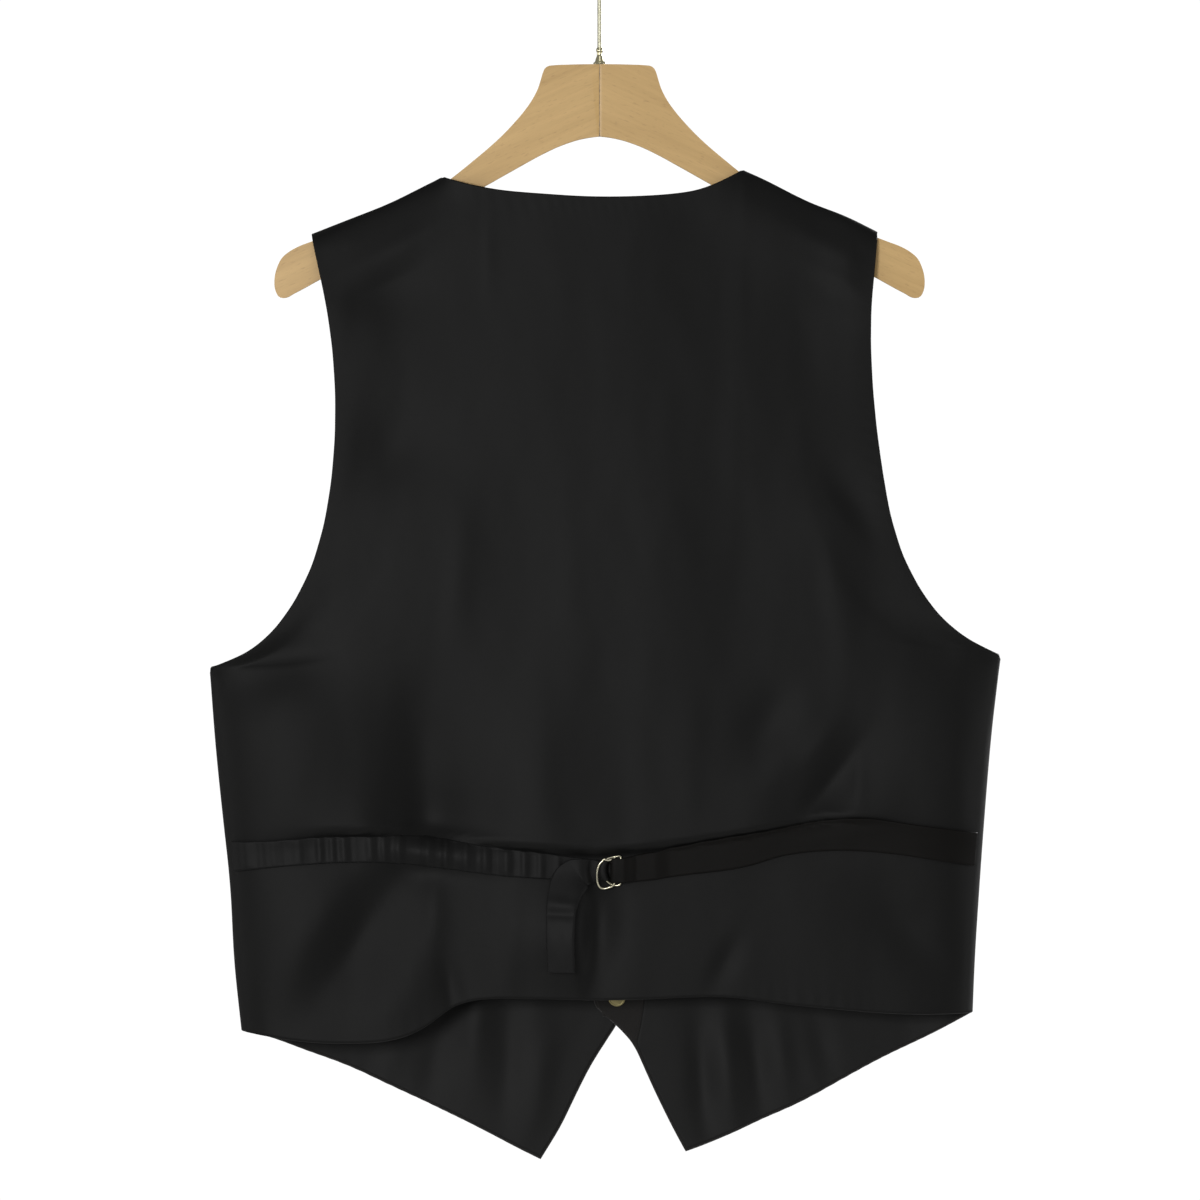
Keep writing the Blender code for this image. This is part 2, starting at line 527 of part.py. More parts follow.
def back():
    inner = list(np.linspace(0.155, 0.845, 22))
    columns = BACK_ROUND + inner + [1 - s for s in reversed(BACK_ROUND)]
    shoulder = np.array(SHOULDER_STEPS)
    top = edge((LEFT_SHOULDER, shoulder), (BACK_NECK, NECK_STEPS), (RIGHT_SHOULDER, 1 - shoulder[::-1]))
    hem_shares = np.interp(even(len(top) - 1), even(len(columns) - 1), columns)
    left = edge((LEFT_SEAM, even(12)), (LEFT_ARMHOLE, BACK_ARMHOLE_STEPS))
    right = edge((RIGHT_SEAM, even(12)), (RIGHT_ARMHOLE, BACK_ARMHOLE_STEPS))
    grid = patch(curve(BACK_HEM, hem_shares), top, left, right)
    seams = np.zeros(grid.shape[:2], bool)
    seams[:13, 0] = seams[:13, -1] = True
    seams[-1, :len(shoulder)] = seams[-1, -len(shoulder):] = True
    return cloth("back", grid, back_skin, -1, BACK_WALL, "satin", seams=seams)


def at_levels(points, levels):
    """The first point of a rising curve, and its points at each level of z."""
    line = curve(points, even(300))
    rest = [(np.interp(z, line[:, 1], line[:, 0]), z) for z in levels]
    return np.vstack([line[:1], rest])


def front(name, hem, seam, armhole, cutaway, lapped, neck, shoulder, skin, mirrored):
    """Columns run across from -X, rows from the hem to the shoulder. Gives the grid, for what lines it."""
    steps = np.array(FRONT_ROUND + list(np.linspace(0.28, 1, 10)))
    lined, above = np.linspace(0, LINING_SHARE, LINING_ROWS), np.linspace(LINING_SHARE, 1, 9)
    seam_rows = np.concatenate([lined, above[1:]])
    side = edge((seam, seam_rows), (armhole, FRONT_ARMHOLE_STEPS))
    rising = np.linspace(UNDERARM_LEVEL, 1, LAPPED_ROWS + 1)
    lapped_rows = np.concatenate([even(8) * UNDERARM_LEVEL, rising[1:]])
    neck_rows = FRONT_ARMHOLE_STEPS[LAPPED_ROWS:]
    neck_rows = (np.array(neck_rows) - neck_rows[0]) / (1 - neck_rows[0])
    centre = chain(at_levels(cutaway, FRONT_EDGE_LEVELS), edge((lapped, lapped_rows), (neck, neck_rows)))
    if mirrored:
        grid = patch(curve(hem, 1 - steps[::-1]), curve(shoulder, 1 - steps[::-1]), centre, side)
    else:
        grid = patch(curve(hem, steps), curve(shoulder, steps), side, centre)
    seams = np.zeros(grid.shape[:2], bool)
    seams[:len(seam_rows), -1 if mirrored else 0] = True
    seams[-1, :] = True
    cloth(name, grid, skin, 1, FRONT_WALL, "suiting", seams=seams)
    return grid


def moved_in(grid, border, beside, distance):
    """Moves one border of a grid in by a distance."""
    step = grid[beside] - grid[border]
    grid[border] += step * distance / np.linalg.norm(step, axis=-1)[..., None]


def inner_layer(name, grid, skin, slot, clear):
    lift = -(FRONT_WALL + LINING_WALL) / 2 - clear
    return cloth(name, grid, skin, 1, LINING_WALL, slot, lift=lift)


def lining_left(front_grid):
    grid = front_grid[:LINING_ROWS, 1:].copy()
    moved_in(grid, np.s_[0, :], np.s_[1, :], HEM_ALLOWANCE)
    moved_in(grid, np.s_[:, -1], np.s_[:, -2], HEM_ALLOWANCE)
    inner_layer("lining_left", grid, front_left_skin, "satin", LINING_GAP)


def lining_right(front_grid):
    """Below the facing it runs to the front's edge. Above, its rows start at the facing's seam."""
    grid = front_grid[:LINING_ROWS, :-1].copy()
    moved_in(grid, np.s_[0, :], np.s_[1, :], HEM_ALLOWANCE)
    moved_in(grid, np.s_[:, 0], np.s_[:, 1], HEM_ALLOWANCE)
    seam = curve(FACING_SEAM, even(60))
    for row in grid:
        past = row[:, 0] - np.interp(row[:, 1], seam[:, 1], seam[:, 0]) - GAP
        if row[0, 1] >= seam[0, 1] and past[0] < 0:
            k = int(np.argmax(past > 0))
            start = row[k - 1] + (row[k] - row[k - 1]) * past[k - 1] / (past[k - 1] - past[k])
            shares = even(SEAM_COLUMNS)[:-1, None]
            row[:SEAM_COLUMNS] = start + (row[SEAM_COLUMNS] - start) * shares
    inner_layer("lining_right", grid, front_right_skin, "satin", LINING_GAP)


def facing_right():
    rounded = inset(FRONT_RIGHT_CUTAWAY[4:], -HEM_ALLOWANCE)
    seam = curve(FACING_SEAM, even(8)) - (GAP, 0)
    foot = curve(np.vstack([rounded[2:0:-1], seam[:1] + FACING_CORNER]), even(5))
    left = curve(rounded[2:], even(8))
    right = np.vstack([foot[-1:], seam[1:]])
    left[-1, 1] = right[-1, 1]
    top = curve([left[-1], right[-1]], even(5))
    inner_layer("facing_right", patch(foot, top, left, right), front_right_skin, "suiting", FACING_GAP)


def turn(x, top_z, foot_z, radius, way):
    """Sections round a half turn in the lift direction: way is 1 for a turn at +X, -1 at -X."""
    rows = []
    for angle in TURN_ANGLES:
        out, lift = way * radius * math.cos(angle), BELT_LIFT + radius * (1 + math.sin(angle))
        rows.append([(x + out, top_z, lift), (x + out, foot_z, lift), 0])
    return rows


def bow_sag(z):
    """How far a ring's bow has curved towards its bar at a height z."""
    radius = (RING_HEIGHT - RING_WIRE) / 2
    return radius - math.sqrt(radius ** 2 - min(abs(z - RINGS[1][2]), radius) ** 2)


def strap_left(bed):
    """The gathered strap, its turn round the lower ring's bow, and its tail back under the upper one."""
    shares = even(86)
    top, foot = curve(LEFT_STRAP_TOP, shares), curve(LEFT_STRAP_FOOT, shares)
    rows = []
    for upper, lower in zip(top, foot):
        x = (upper[0] + lower[0]) / 2
        gather = sum(height * math.exp(-((x - at) / width) ** 2) for at, width, height in GATHERS)
        rows.append([(*upper, BELT_LIFT), (*lower, BELT_LIFT), gather])
    rows += turn(top[-1][0], top[-1][1], foot[-1][1], LEFT_TURN, 1)
    for outer_x, outer_z, inner_x, inner_z, lift in curve(TAIL, TAIL_STEPS)[1:]:
        rows.append([(outer_x, outer_z, lift), (inner_x, inner_z, lift), 0])
    sections = []
    for upper, lower, gather in rows:
        upper, lower = np.array(upper), np.array(lower)
        section = [upper + (lower - upper) * t for t in even(4)]
        for point, fullness in zip(section, GATHER_FULLNESS):
            point[2] += gather * fullness
            point[0] += bow_sag(point[1]) * float(smooth((point[0] - SAG_START) / SAG_RUN))
        sections.append(section)
    return ribbon("strap_left", np.array(sections), bed)


def strap_right(bed):
    """The plain strap, over and round both rings' bars, and its end back under it."""
    top = curve(RIGHT_STRAP_TOP[::-1], RIGHT_STRAP_STEPS)
    foot = curve(RIGHT_STRAP_FOOT[::-1], RIGHT_STRAP_STEPS)
    loop_x = top[-1][0]
    over_bars = BELT_LIFT + 2 * RIGHT_TURN
    doubled = BELT_LIFT + GAP + STRAP_WALL
    rows = []
    for upper, lower in zip(top, foot):
        x = (upper[0] + lower[0]) / 2
        down = float(smooth((x - loop_x - LOOP_START) / LOOP_RUN))
        flat = float(smooth((x - LOOP_END - GAP) / LOOP_EASE))
        lift = over_bars + (doubled - over_bars) * down + (BELT_LIFT - doubled) * flat
        rows.append([(*upper, lift), (*lower, lift), 0])
    rows += turn(loop_x, top[-1][1], foot[-1][1], RIGHT_TURN, -1)[::-1]
    top, foot = top[::-1], foot[::-1]
    for x in np.linspace(loop_x, LOOP_END, 9):
        rows.append([(x, np.interp(x, top[:, 0], top[:, 1]) - GAP, BELT_LIFT),
                     (x, np.interp(x, foot[:, 0], foot[:, 1]) + GAP, BELT_LIFT), 0])
    sections = [[np.array(upper) + (np.array(lower) - np.array(upper)) * t for t in even(4)]
                for upper, lower, _ in rows]
    return ribbon("strap_right", np.array(sections), bed)


def d_ring(name, bow_x, z, bow_lift, bar_lift, bed):
    radius = (RING_HEIGHT - RING_WIRE) / 2
    outline = [(radius + radius * math.cos(angle), radius * math.sin(angle))
               for angle in np.radians(np.linspace(270, 90, 15))]
    corner = RING_DEPTH - RING_CORNER
    for centre_z, start in ((radius - RING_CORNER, 90), (RING_CORNER - radius, 0)):
        for angle in np.radians([start, start - 30, start - 60, start - 90]):
            reach, rise = RING_CORNER * math.cos(angle), RING_CORNER * math.sin(angle)
            outline.append((corner + reach, centre_z + rise))
    flat = np.array(outline)
    lift = bow_lift + (bar_lift - bow_lift) * flat[:, 0] / RING_DEPTH
    spots = np.column_stack([flat + (bow_x, z), lift])
    return wire(name, on_faces(bed, spots), RING_WIRE, True, "ring_metal", garment)


def buttons():
    (top_x, top_z), (foot_x, foot_z) = CENTRE_FRONT
    for number, z in enumerate(BUTTON_Z, start=1):
        x = top_x + (z - top_z) * (foot_x - top_x) / (foot_z - top_z)
        spot = (np.array(x), np.array(float(z)))
        front_y = float(front_left_skin(*spot)) + FRONT_WALL / 2 + BUTTON_LIFT
        turned(f"button_{number}", BUTTON_PROFILE, 20, "button", garment,
               location=(x, front_y, z), rotation=(-math.pi / 2, 0, 0))
        lining = LINING_WALL + FACING_GAP if z < LINING_TOP else 0
        back_y = float(front_right_skin(*spot)) - FRONT_WALL / 2 - lining - BUTTON_LIFT
        turned(f"button_back_{number}", STUD_PROFILE, 16, "brass", garment,
               location=(x, back_y, z), rotation=(math.pi / 2, 0, 0))


# ---- the hanger's pieces

def hanger_half(name, side):
    """The outline as stacked rings: flat faces, rounded edges, and a plain face at the joint."""
    outline = np.array(HANGER_OUTLINE, float)
    ahead = np.roll(outline, -1, axis=0) - outline
    behind = outline - np.roll(outline, 1, axis=0)
    ahead[-1] = behind[-1]
    behind[0] = ahead[0]
    ahead /= np.linalg.norm(ahead, axis=1)[:, None]
    behind /= np.linalg.norm(behind, axis=1)[:, None]
    inward = np.stack([ahead[:, 1] + behind[:, 1], -ahead[:, 0] - behind[:, 0]], axis=1)
    inward /= (1 + (ahead * behind).sum(axis=1))[:, None]
    rings = []
    for angle in np.radians([0, 30, 60, 90]):
        level = outline + inward * BOARD_ROUND * (1 - math.cos(angle))
        level[0, 0] = level[-1, 0] = GAP / 2
        y = BOARD / 2 - BOARD_ROUND * (1 - math.sin(angle))
        rings.append((level, y))
    stack = [(level, -y) for level, y in reversed(rings)] + rings
    points = [(side * x, y, z) for level, y in stack for x, z in level]
    count = len(outline)
    faces = [tuple(range(count)), tuple(range(len(points) - count, len(points)))[::-1]]
    for ring in range(len(stack) - 1):
        for i in range(count):
            j = (i + 1) % count
            a, b = ring * count + i, ring * count + j
            faces.append((a, b, b + count, a + count))
    return add_object(name, points, faces, "wood", hanger)


def hook():
    """Up the stem, round a small bend, and on round the crook."""
    crook_z = HOOK_WIRE / 2 - HOOK_RADIUS
    reach = HOOK_RADIUS + HOOK_BEND
    bend_z = crook_z - math.sqrt(reach ** 2 - HOOK_BEND ** 2)
    meet = math.degrees(math.atan2(crook_z - bend_z, -HOOK_BEND))
    line = [(0, HOOK_FOOT), (0, (HOOK_FOOT + bend_z) / 2)]
    line += [(HOOK_BEND + HOOK_BEND * math.cos(a), bend_z + HOOK_BEND * math.sin(a))
             for a in np.radians(np.linspace(180, meet, 6))]
    line += [(HOOK_RADIUS * math.cos(a), crook_z + HOOK_RADIUS * math.sin(a))
             for a in np.radians(np.linspace(meet - 180, HOOK_END, 27)[1:])]
    return wire("hook", [(x, 0, z) for x, z in line], HOOK_WIRE, False, "hook_metal", hanger)


for old in list(bpy.data.objects):
    bpy.data.objects.remove(old)
garment = bpy.data.objects.new("garment", None)
hanger = bpy.data.objects.new("hanger", None)
for empty in (garment, hanger):
    bpy.context.scene.collection.objects.link(empty)

back_bed = outer_faces(back())
left_grid = front("front_left", FRONT_LEFT_HEM, LEFT_SEAM, FRONT_LEFT_ARMHOLE, FRONT_LEFT_CUTAWAY,
                  FRONT_LEFT_EDGE, FRONT_LEFT_NECK, LEFT_SHOULDER, front_left_skin, False)
right_grid = front("front_right", FRONT_RIGHT_HEM, RIGHT_SEAM, FRONT_RIGHT_ARMHOLE, FRONT_RIGHT_CUTAWAY,
                   FRONT_RIGHT_EDGE, FRONT_RIGHT_NECK, RIGHT_SHOULDER, front_right_skin, True)
lining_left(left_grid)
lining_right(right_grid)
facing_right()
strap_left(back_bed)
strap_right(back_bed)
for ring in RINGS:
    d_ring(*ring, back_bed)
buttons()
hanger_half("hanger_left", -1)
hanger_half("hanger_right", 1)
turned("ferrule", FERRULE_PROFILE, 24, "hook_metal", hanger)
hook()
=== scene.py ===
import math

import bmesh
import bpy
import numpy as np
from mathutils import Matrix, Vector, noise
from mathutils.bvhtree import BVHTree


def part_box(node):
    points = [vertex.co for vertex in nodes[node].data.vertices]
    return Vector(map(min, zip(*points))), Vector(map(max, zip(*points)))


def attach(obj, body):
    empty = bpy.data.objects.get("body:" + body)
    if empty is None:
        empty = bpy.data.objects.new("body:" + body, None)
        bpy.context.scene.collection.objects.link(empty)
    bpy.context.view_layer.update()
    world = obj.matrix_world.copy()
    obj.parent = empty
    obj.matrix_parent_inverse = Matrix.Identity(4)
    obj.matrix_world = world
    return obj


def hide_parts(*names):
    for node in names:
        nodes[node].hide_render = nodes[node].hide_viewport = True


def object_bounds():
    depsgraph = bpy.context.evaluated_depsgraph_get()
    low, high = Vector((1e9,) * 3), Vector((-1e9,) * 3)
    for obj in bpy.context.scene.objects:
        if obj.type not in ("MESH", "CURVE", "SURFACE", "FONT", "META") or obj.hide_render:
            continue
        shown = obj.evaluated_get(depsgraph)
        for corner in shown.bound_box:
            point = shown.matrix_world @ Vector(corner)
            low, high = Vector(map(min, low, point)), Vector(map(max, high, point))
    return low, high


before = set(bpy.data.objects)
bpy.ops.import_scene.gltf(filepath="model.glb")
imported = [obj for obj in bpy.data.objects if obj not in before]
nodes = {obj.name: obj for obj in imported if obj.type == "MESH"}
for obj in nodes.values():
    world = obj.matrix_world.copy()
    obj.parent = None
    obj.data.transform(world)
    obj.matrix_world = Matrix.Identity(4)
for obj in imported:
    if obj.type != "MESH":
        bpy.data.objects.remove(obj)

# A buttoned waistcoat on its wooden hanger, finished for a close look. Lengths are in metres.
# The satin back faces -Y, and the wearer's left is at -X.

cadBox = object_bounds()
mm = 0.001

# How a solid's outline is read: levels, the step of its line, and what counts as a corner in degrees.
outline = {"levels": 1500, "step": 1.5 * mm, "beside": 4, "corner": 28, "passes": 40}
# A grid's borders, each with the line beside it.
borders = {"foot": (np.s_[0, :], np.s_[1, :]), "top": (np.s_[-1, :], np.s_[-2, :]),
           "left": (np.s_[:, 0], np.s_[:, 1]), "right": (np.s_[:, -1], np.s_[:, -2])}


def lengthAlong(line):   # each point's distance from the line's start
    return np.concatenate([[0], np.cumsum(np.linalg.norm(np.diff(line, axis=0), axis=1))])


def evenShares(length, step):   # from 0 to 1, about a step apart on this length
    return np.linspace(0, 1, max(2, round(length / step)) + 1)


def pointsAt(line, share):   # points at shares of a line's length
    length = lengthAlong(line)
    return np.column_stack([np.interp(share * length[-1], length, column) for column in line.T])


def evenly(line, step):   # the same line with points a step apart
    return pointsAt(line, evenShares(lengthAlong(line)[-1], step))


def nodeEdges(name):   # both ends of every edge, as x and z
    mesh = nodes[name].data
    flat = np.array([vertex.co[:] for vertex in mesh.vertices])[:, ::2]
    ends = np.array([edge.vertices[:] for edge in mesh.edges])
    return flat[ends[:, 0]], flat[ends[:, 1]]


def reach(ends, along, levels, side):   # how far a solid reaches, at levels of the other axis
    start, stop = ends
    low = np.minimum(start[:, along], stop[:, along]) - 1e-7
    high = np.maximum(start[:, along], stop[:, along]) + 1e-7
    found = []
    for level in levels:
        crossed = (low <= level) & (high >= level)
        a, b = start[crossed], stop[crossed]
        span = b[:, along] - a[:, along]
        t = np.clip((level - a[:, along]) / np.where(abs(span) < 1e-9, 1e-9, span), 0, 1)
        value = a[:, 1 - along] + t * (b[:, 1 - along] - a[:, 1 - along])
        found.append(side * (side * value).max())
    return np.array(found)


def sharpness(line, reachOut):   # the turn at each point, in radians
    turn = np.zeros(len(line))
    before, after = line[reachOut:-reachOut] - line[:-2 * reachOut], line[2 * reachOut:] - line[reachOut:-reachOut]
    cross = before[:, 0] * after[:, 1] - before[:, 1] * after[:, 0]
    turn[reachOut:-reachOut] = abs(np.arctan2(cross, (before * after).sum(axis=1)))
    return turn


def softened(line, turn):   # rounds the facets and keeps the true corners
    free = (turn < math.radians(outline["corner"])).astype(float)[:, None]
    free[[0, -1]] = 0
    line = line.copy()
    for _ in range(outline["passes"]):
        line[1:-1] += free[1:-1] * (line[:-2] + line[2:] - 2 * line[1:-1]) * 0.25
    return line


def sidesOf(name, corners):   # a solid's four outlines, and where each turns most, as shares
    ends = nodeEdges(name)
    points = np.concatenate(ends)
    footLeft, footRight, topLeft, topRight = [points[np.argmax(points @ np.array(way))] for way in corners]
    lines, bends = {}, {}
    for side, first, last, along, out in (("left", footLeft, topLeft, 1, -1), ("right", footRight, topRight, 1, 1),
                                          ("foot", footLeft, footRight, 0, -1), ("top", topLeft, topRight, 0, 1)):
        levels = np.linspace(first[along], last[along], outline["levels"])
        other = reach(ends, along, levels, out)
        line = np.column_stack([other, levels] if along else [levels, other])
        line[0], line[-1] = first, last
        line = evenly(line, outline["step"])
        turn = sharpness(line, outline["beside"])
        half, count = len(line) // 2, len(line) - 1
        bends[side] = np.array([np.argmax(turn[:half]), half + np.argmax(turn[half:]), np.argmax(turn)]) / count
        lines[side] = softened(line, turn)
    return lines, bends


def spread(length, step, fineStart, fineEnd):   # shares from 0 to 1, closer together towards a fine end
    s, growth = np.linspace(0, length, 4000), cloth["growth"]
    local = np.minimum(step, np.minimum(fineStart + growth * s, fineEnd + growth * (length - s)))
    count = np.concatenate([[0], np.cumsum((1 / local[1:] + 1 / local[:-1]) / 2 * np.diff(s))])
    return np.interp(np.linspace(0, count[-1], math.ceil(count[-1]) + 1), count, s) / length


def gridBetween(lines, columns, rows):   # x and z, [row, column], between four outlines
    foot, top = pointsAt(lines["foot"], columns), pointsAt(lines["top"], columns)
    left, right = pointsAt(lines["left"], rows), pointsAt(lines["right"], rows)
    u, v = columns[None, :, None], rows[:, None, None]
    return ((1 - v) * foot[None] + v * top[None] + (1 - u) * left[:, None] + u * right[:, None]
            - (1 - u) * (1 - v) * foot[0] - u * (1 - v) * foot[-1] - (1 - u) * v * top[0] - u * v * top[-1])


def treeOf(mesh):
    return BVHTree.FromPolygons([vertex.co[:] for vertex in mesh.vertices],
                                [face.vertices[:] for face in mesh.polygons])


def heights(tree, x, z, outside):   # y of the first face met from outside
    y = np.full(x.shape, np.nan)
    for place in np.ndindex(x.shape):
        hit = tree.ray_cast((x[place], 0.3 * outside, z[place]), (0, -outside, 0))[0]
        if hit is not None:
            y[place] = hit.y
    return y


def filled(y):   # places that were missed take their nearest neighbour's value
    for _ in range(6):
        for axis, step in ((1, 1), (1, -1), (0, 1), (0, -1)):
            beside = np.roll(y, step, axis)
            y = np.where(np.isnan(y), beside, y)
    return y


def relaxed(y, passes, held):   # heights smoothed, also along the borders where they aren't held
    for _ in range(passes):
        inner = y[1:-1, 1:-1]
        inner += ((y[:-2, 1:-1] + y[2:, 1:-1] + y[1:-1, :-2] + y[1:-1, 2:]) / 4 - inner) * 0.6
        for border, beside in borders.values():
            y[border][1:-1] += (y[beside] - y[border])[1:-1] * 0.3 * (1 - held[border][1:-1])
    return y


def smoothStep(t):
    t = np.clip(t, 0, 1)
    return t * t * (3 - 2 * t)


cloth = {"step": 3.0 * mm, "fine": 0.9 * mm, "footStep": 2 * mm, "growth": 0.3, "nudge": 0.6 * mm, "passes": 26,
         "topPasses": 90, "backWall": 1.4 * mm, "frontWall": 2.0 * mm, "seamDepth": 0.2 * mm,
         "calmEdge": 22 * mm, "rim": 0.42, "rimMost": 0.6}
lining = {"wall": 1.0 * mm, "gap": 0.35 * mm, "edge": 1.5 * mm, "passes": 4, "seed": 21.0, "uneven": 0.5,
          "calmEdge": 10 * mm}
# Over the shoulders the cloth lies smoother.
shoulders = {"foot": -345 * mm, "run": 50 * mm, "half": 185 * mm, "fade": 40 * mm}

# Creases: x, z of the middle, lean from upright in degrees, half length, half widths on the side towards -X
# and towards +X, and rise, in mm. A trough has a negative rise. The largest folds are already in the solids.
backCreases = [(-125, -590, 2, 62, 16, 26, -2.4), (-114, -590, 2, 64, 19, 34, -3.4),
    (-101, -588, 2, 66, 25, 54, -3.6), (-130, -616, 0, 30, 15, 26, -3.0), (-116, -616, 0, 30, 20, 34, -3.2),
    (-104, -614, 0, 26, 22, 44, -2.0), (-40, -594, -2, 46, 22, 16, 1.6), (155, -587, 38, 36, 9, 26, -5.2),
    (112, -546, 20, 26, 16, 14, -2.6), (150, -556, 33, 18, 9, 9, 1.8), (175, -582, 5, 20, 4, 6, 1.0),
    (-160, -688, 32, 50, 17, 45, -4.8), (-195, -688, 32, 44, 26, 19, 4.2), (214, -690, -42, 34, 16, 12, -1.6),
    (85, -705, 29, 20, 7, 8, -1.6), (-101, -722, -12, 22, 7, 8, -2.4), (-112, -668, 0, 26, 7, 8, 1.5),
    (-60, -690, 4, 34, 8, 8, 1.0), (-24, -690, 2, 30, 8, 8, -0.4), (-16, -686, 2, 32, 40, 10, 8.0),
    (-3.8, -679, 1, 34, 8.5, 17, -7.6), (-144, -248, 63, 28, 9, 26, -2.6), (-140, -222, 63, 40, 8, 8, 1.2),
    (166, -242, -63, 24, 8, 20, 1.8), (160, -222, -63, 30, 8, 8, 1.0), (-76, -223, 0, 26, 3, 6, 0.5),
    (-138, -352, 12, 28, 24, 34, -2.8), (-96, -446, 4, 46, 9, 12, 1.1), (95, -330, 2, 90, 11, 46, 0.9),
    (-200, -560, 0, 40, 60, 30, 1.6), (161, -402, -34, 24, 30, 10, 2.2), (160, -450, -8, 50, 10, 12, 1.2),
    (-214, -500, 88, 40, 16, 26, -4.6), (-206, -604, 0, 46, 34, 30, 2.6), (236, -492, -66, 28, 26, 14, -1.8),
    (240, -575, 0, 66, 54, 16, 3.2), (60, -560, 3, 60, 14, 12, 0.8), (16, -600, -2, 40, 10, 10, -0.7),
    (-20, -480, 2, 70, 14, 14, 0.5), (-10, -330, -2, 60, 18, 18, -0.5)]
frontCreases = [(-84, -746, 4, 40, 10, 9, -3.4), (-62, -764, 4, 44, 10, 10, 3.2), (-40, -786, 6, 32, 8, 8, -1.6),
    (69, -786, -4, 36, 7, 7, 2.8), (87, -778, -5, 36, 7, 7, -2.6), (106, -776, -6, 38, 8, 8, 2.8),
    (124, -772, -8, 30, 7, 7, -1.8), (152, -764, -12, 26, 8, 9, 1.8), (-112, -772, 10, 30, 9, 9, 1.8),
    (-140, -764, 16, 28, 9, 9, -1.6), (74, -570, 6, 70, 17, 20, 2.0), (-76, -590, -4, 80, 17, 20, -2.0),
    (-152, -462, 26, 62, 15, 22, 2.8), (160, -474, -28, 60, 22, 15, 2.6), (-86, -310, -16, 56, 15, 17, 1.8),
    (90, -316, 16, 60, 16, 15, -1.8), (-196, -676, -8, 56, 15, 20, -2.8), (204, -666, 8, 56, 20, 15, -2.8),
    (-126, -640, 10, 70, 15, 18, 2.2), (132, -626, -10, 66, 15, 19, -2.2), (-172, -560, -16, 46, 13, 18, -1.8),
    (180, -566, 14, 50, 18, 13, 2.0), (-116, -430, 34, 50, 12, 16, -1.5), (112, -440, -30, 50, 16, 12, -1.6)]
unevenness = {"rise": 0.24 * mm, "across": 34 * mm, "along": 120 * mm, "fineRise": 0.10 * mm, "fine": 16 * mm,
              "stretch": 2.2}
puckers = {"rise": 0.22 * mm, "pitch": 8.5 * mm, "depth": 9 * mm, "edge": 2 * mm, "drift": 21 * mm,
           "sway": 37 * mm, "sideClear": 5 * mm, "topClear": 6 * mm}


def creased(x, z, rows):
    rise = np.zeros_like(x)
    for midX, midZ, lean, length, before, after, height in rows:
        c, s = math.cos(math.radians(lean)), math.sin(math.radians(lean))
        dx, dz = x / mm - midX, z / mm - midZ
        along, across = dx * s + dz * c, dx * c - dz * s
        width = np.where(across < 0, before, after)
        rise += height * mm * np.exp(-(along / length) ** 2 - (across / width) ** 2)
    return rise


def uneven(x, z, seed):   # the slow, upright unevenness of cloth that hangs
    rise = np.zeros_like(x)
    wide, tall, fine = unevenness["across"], unevenness["along"], unevenness["fine"]
    for place in np.ndindex(x.shape):
        a, b = x[place], z[place]
        slow = noise.noise(Vector((a / wide, b / tall, seed)))
        quick = noise.noise(Vector((a / fine, b / (unevenness["stretch"] * fine), seed + 7)))
        rise[place] = slow * unevenness["rise"] * 2 + quick * unevenness["fineRise"] * 2
    return rise


def fromBorder(grid):   # each point's distance from the left, right, bottom and top borders
    across, up = [np.linalg.norm(np.diff(grid, axis=axis), axis=-1) for axis in (1, 0)]
    left = np.pad(np.cumsum(across, axis=1), ((0, 0), (1, 0)))
    foot = np.pad(np.cumsum(up, axis=0), ((1, 0), (0, 0)))
    return left, left[:, -1:] - left, foot, foot[-1:] - foot


def puckered(grid, seed):   # short gathers that the sewing draws in along each edge
    left, right, foot, top = fromBorder(grid)
    rise = np.zeros(grid.shape[:2])
    for distance, run in ((left, foot), (right, foot), (foot, left), (top, left)):
        fade = np.exp(-distance / puckers["depth"]) * smoothStep(distance / puckers["edge"])
        phase = run / puckers["pitch"] + 0.6 * np.sin(run / puckers["drift"] + seed)
        sway = 0.6 + 0.4 * np.sin(run / puckers["sway"] + seed)
        rise += puckers["rise"] * fade * np.sin(2 * math.pi * phase) * sway
    return rise


def gridNormals(points, outside):
    across, up = np.gradient(points, axis=1), np.gradient(points, axis=0)
    normal = np.cross(across, up)
    normal /= np.linalg.norm(normal, axis=-1)[..., None] + 1e-12
    return normal * (outside * np.sign((normal[..., 1]).sum()))


def placed(title, data):
    made = bpy.data.objects.new(title, data)
    bpy.context.scene.collection.objects.link(made)
    return made


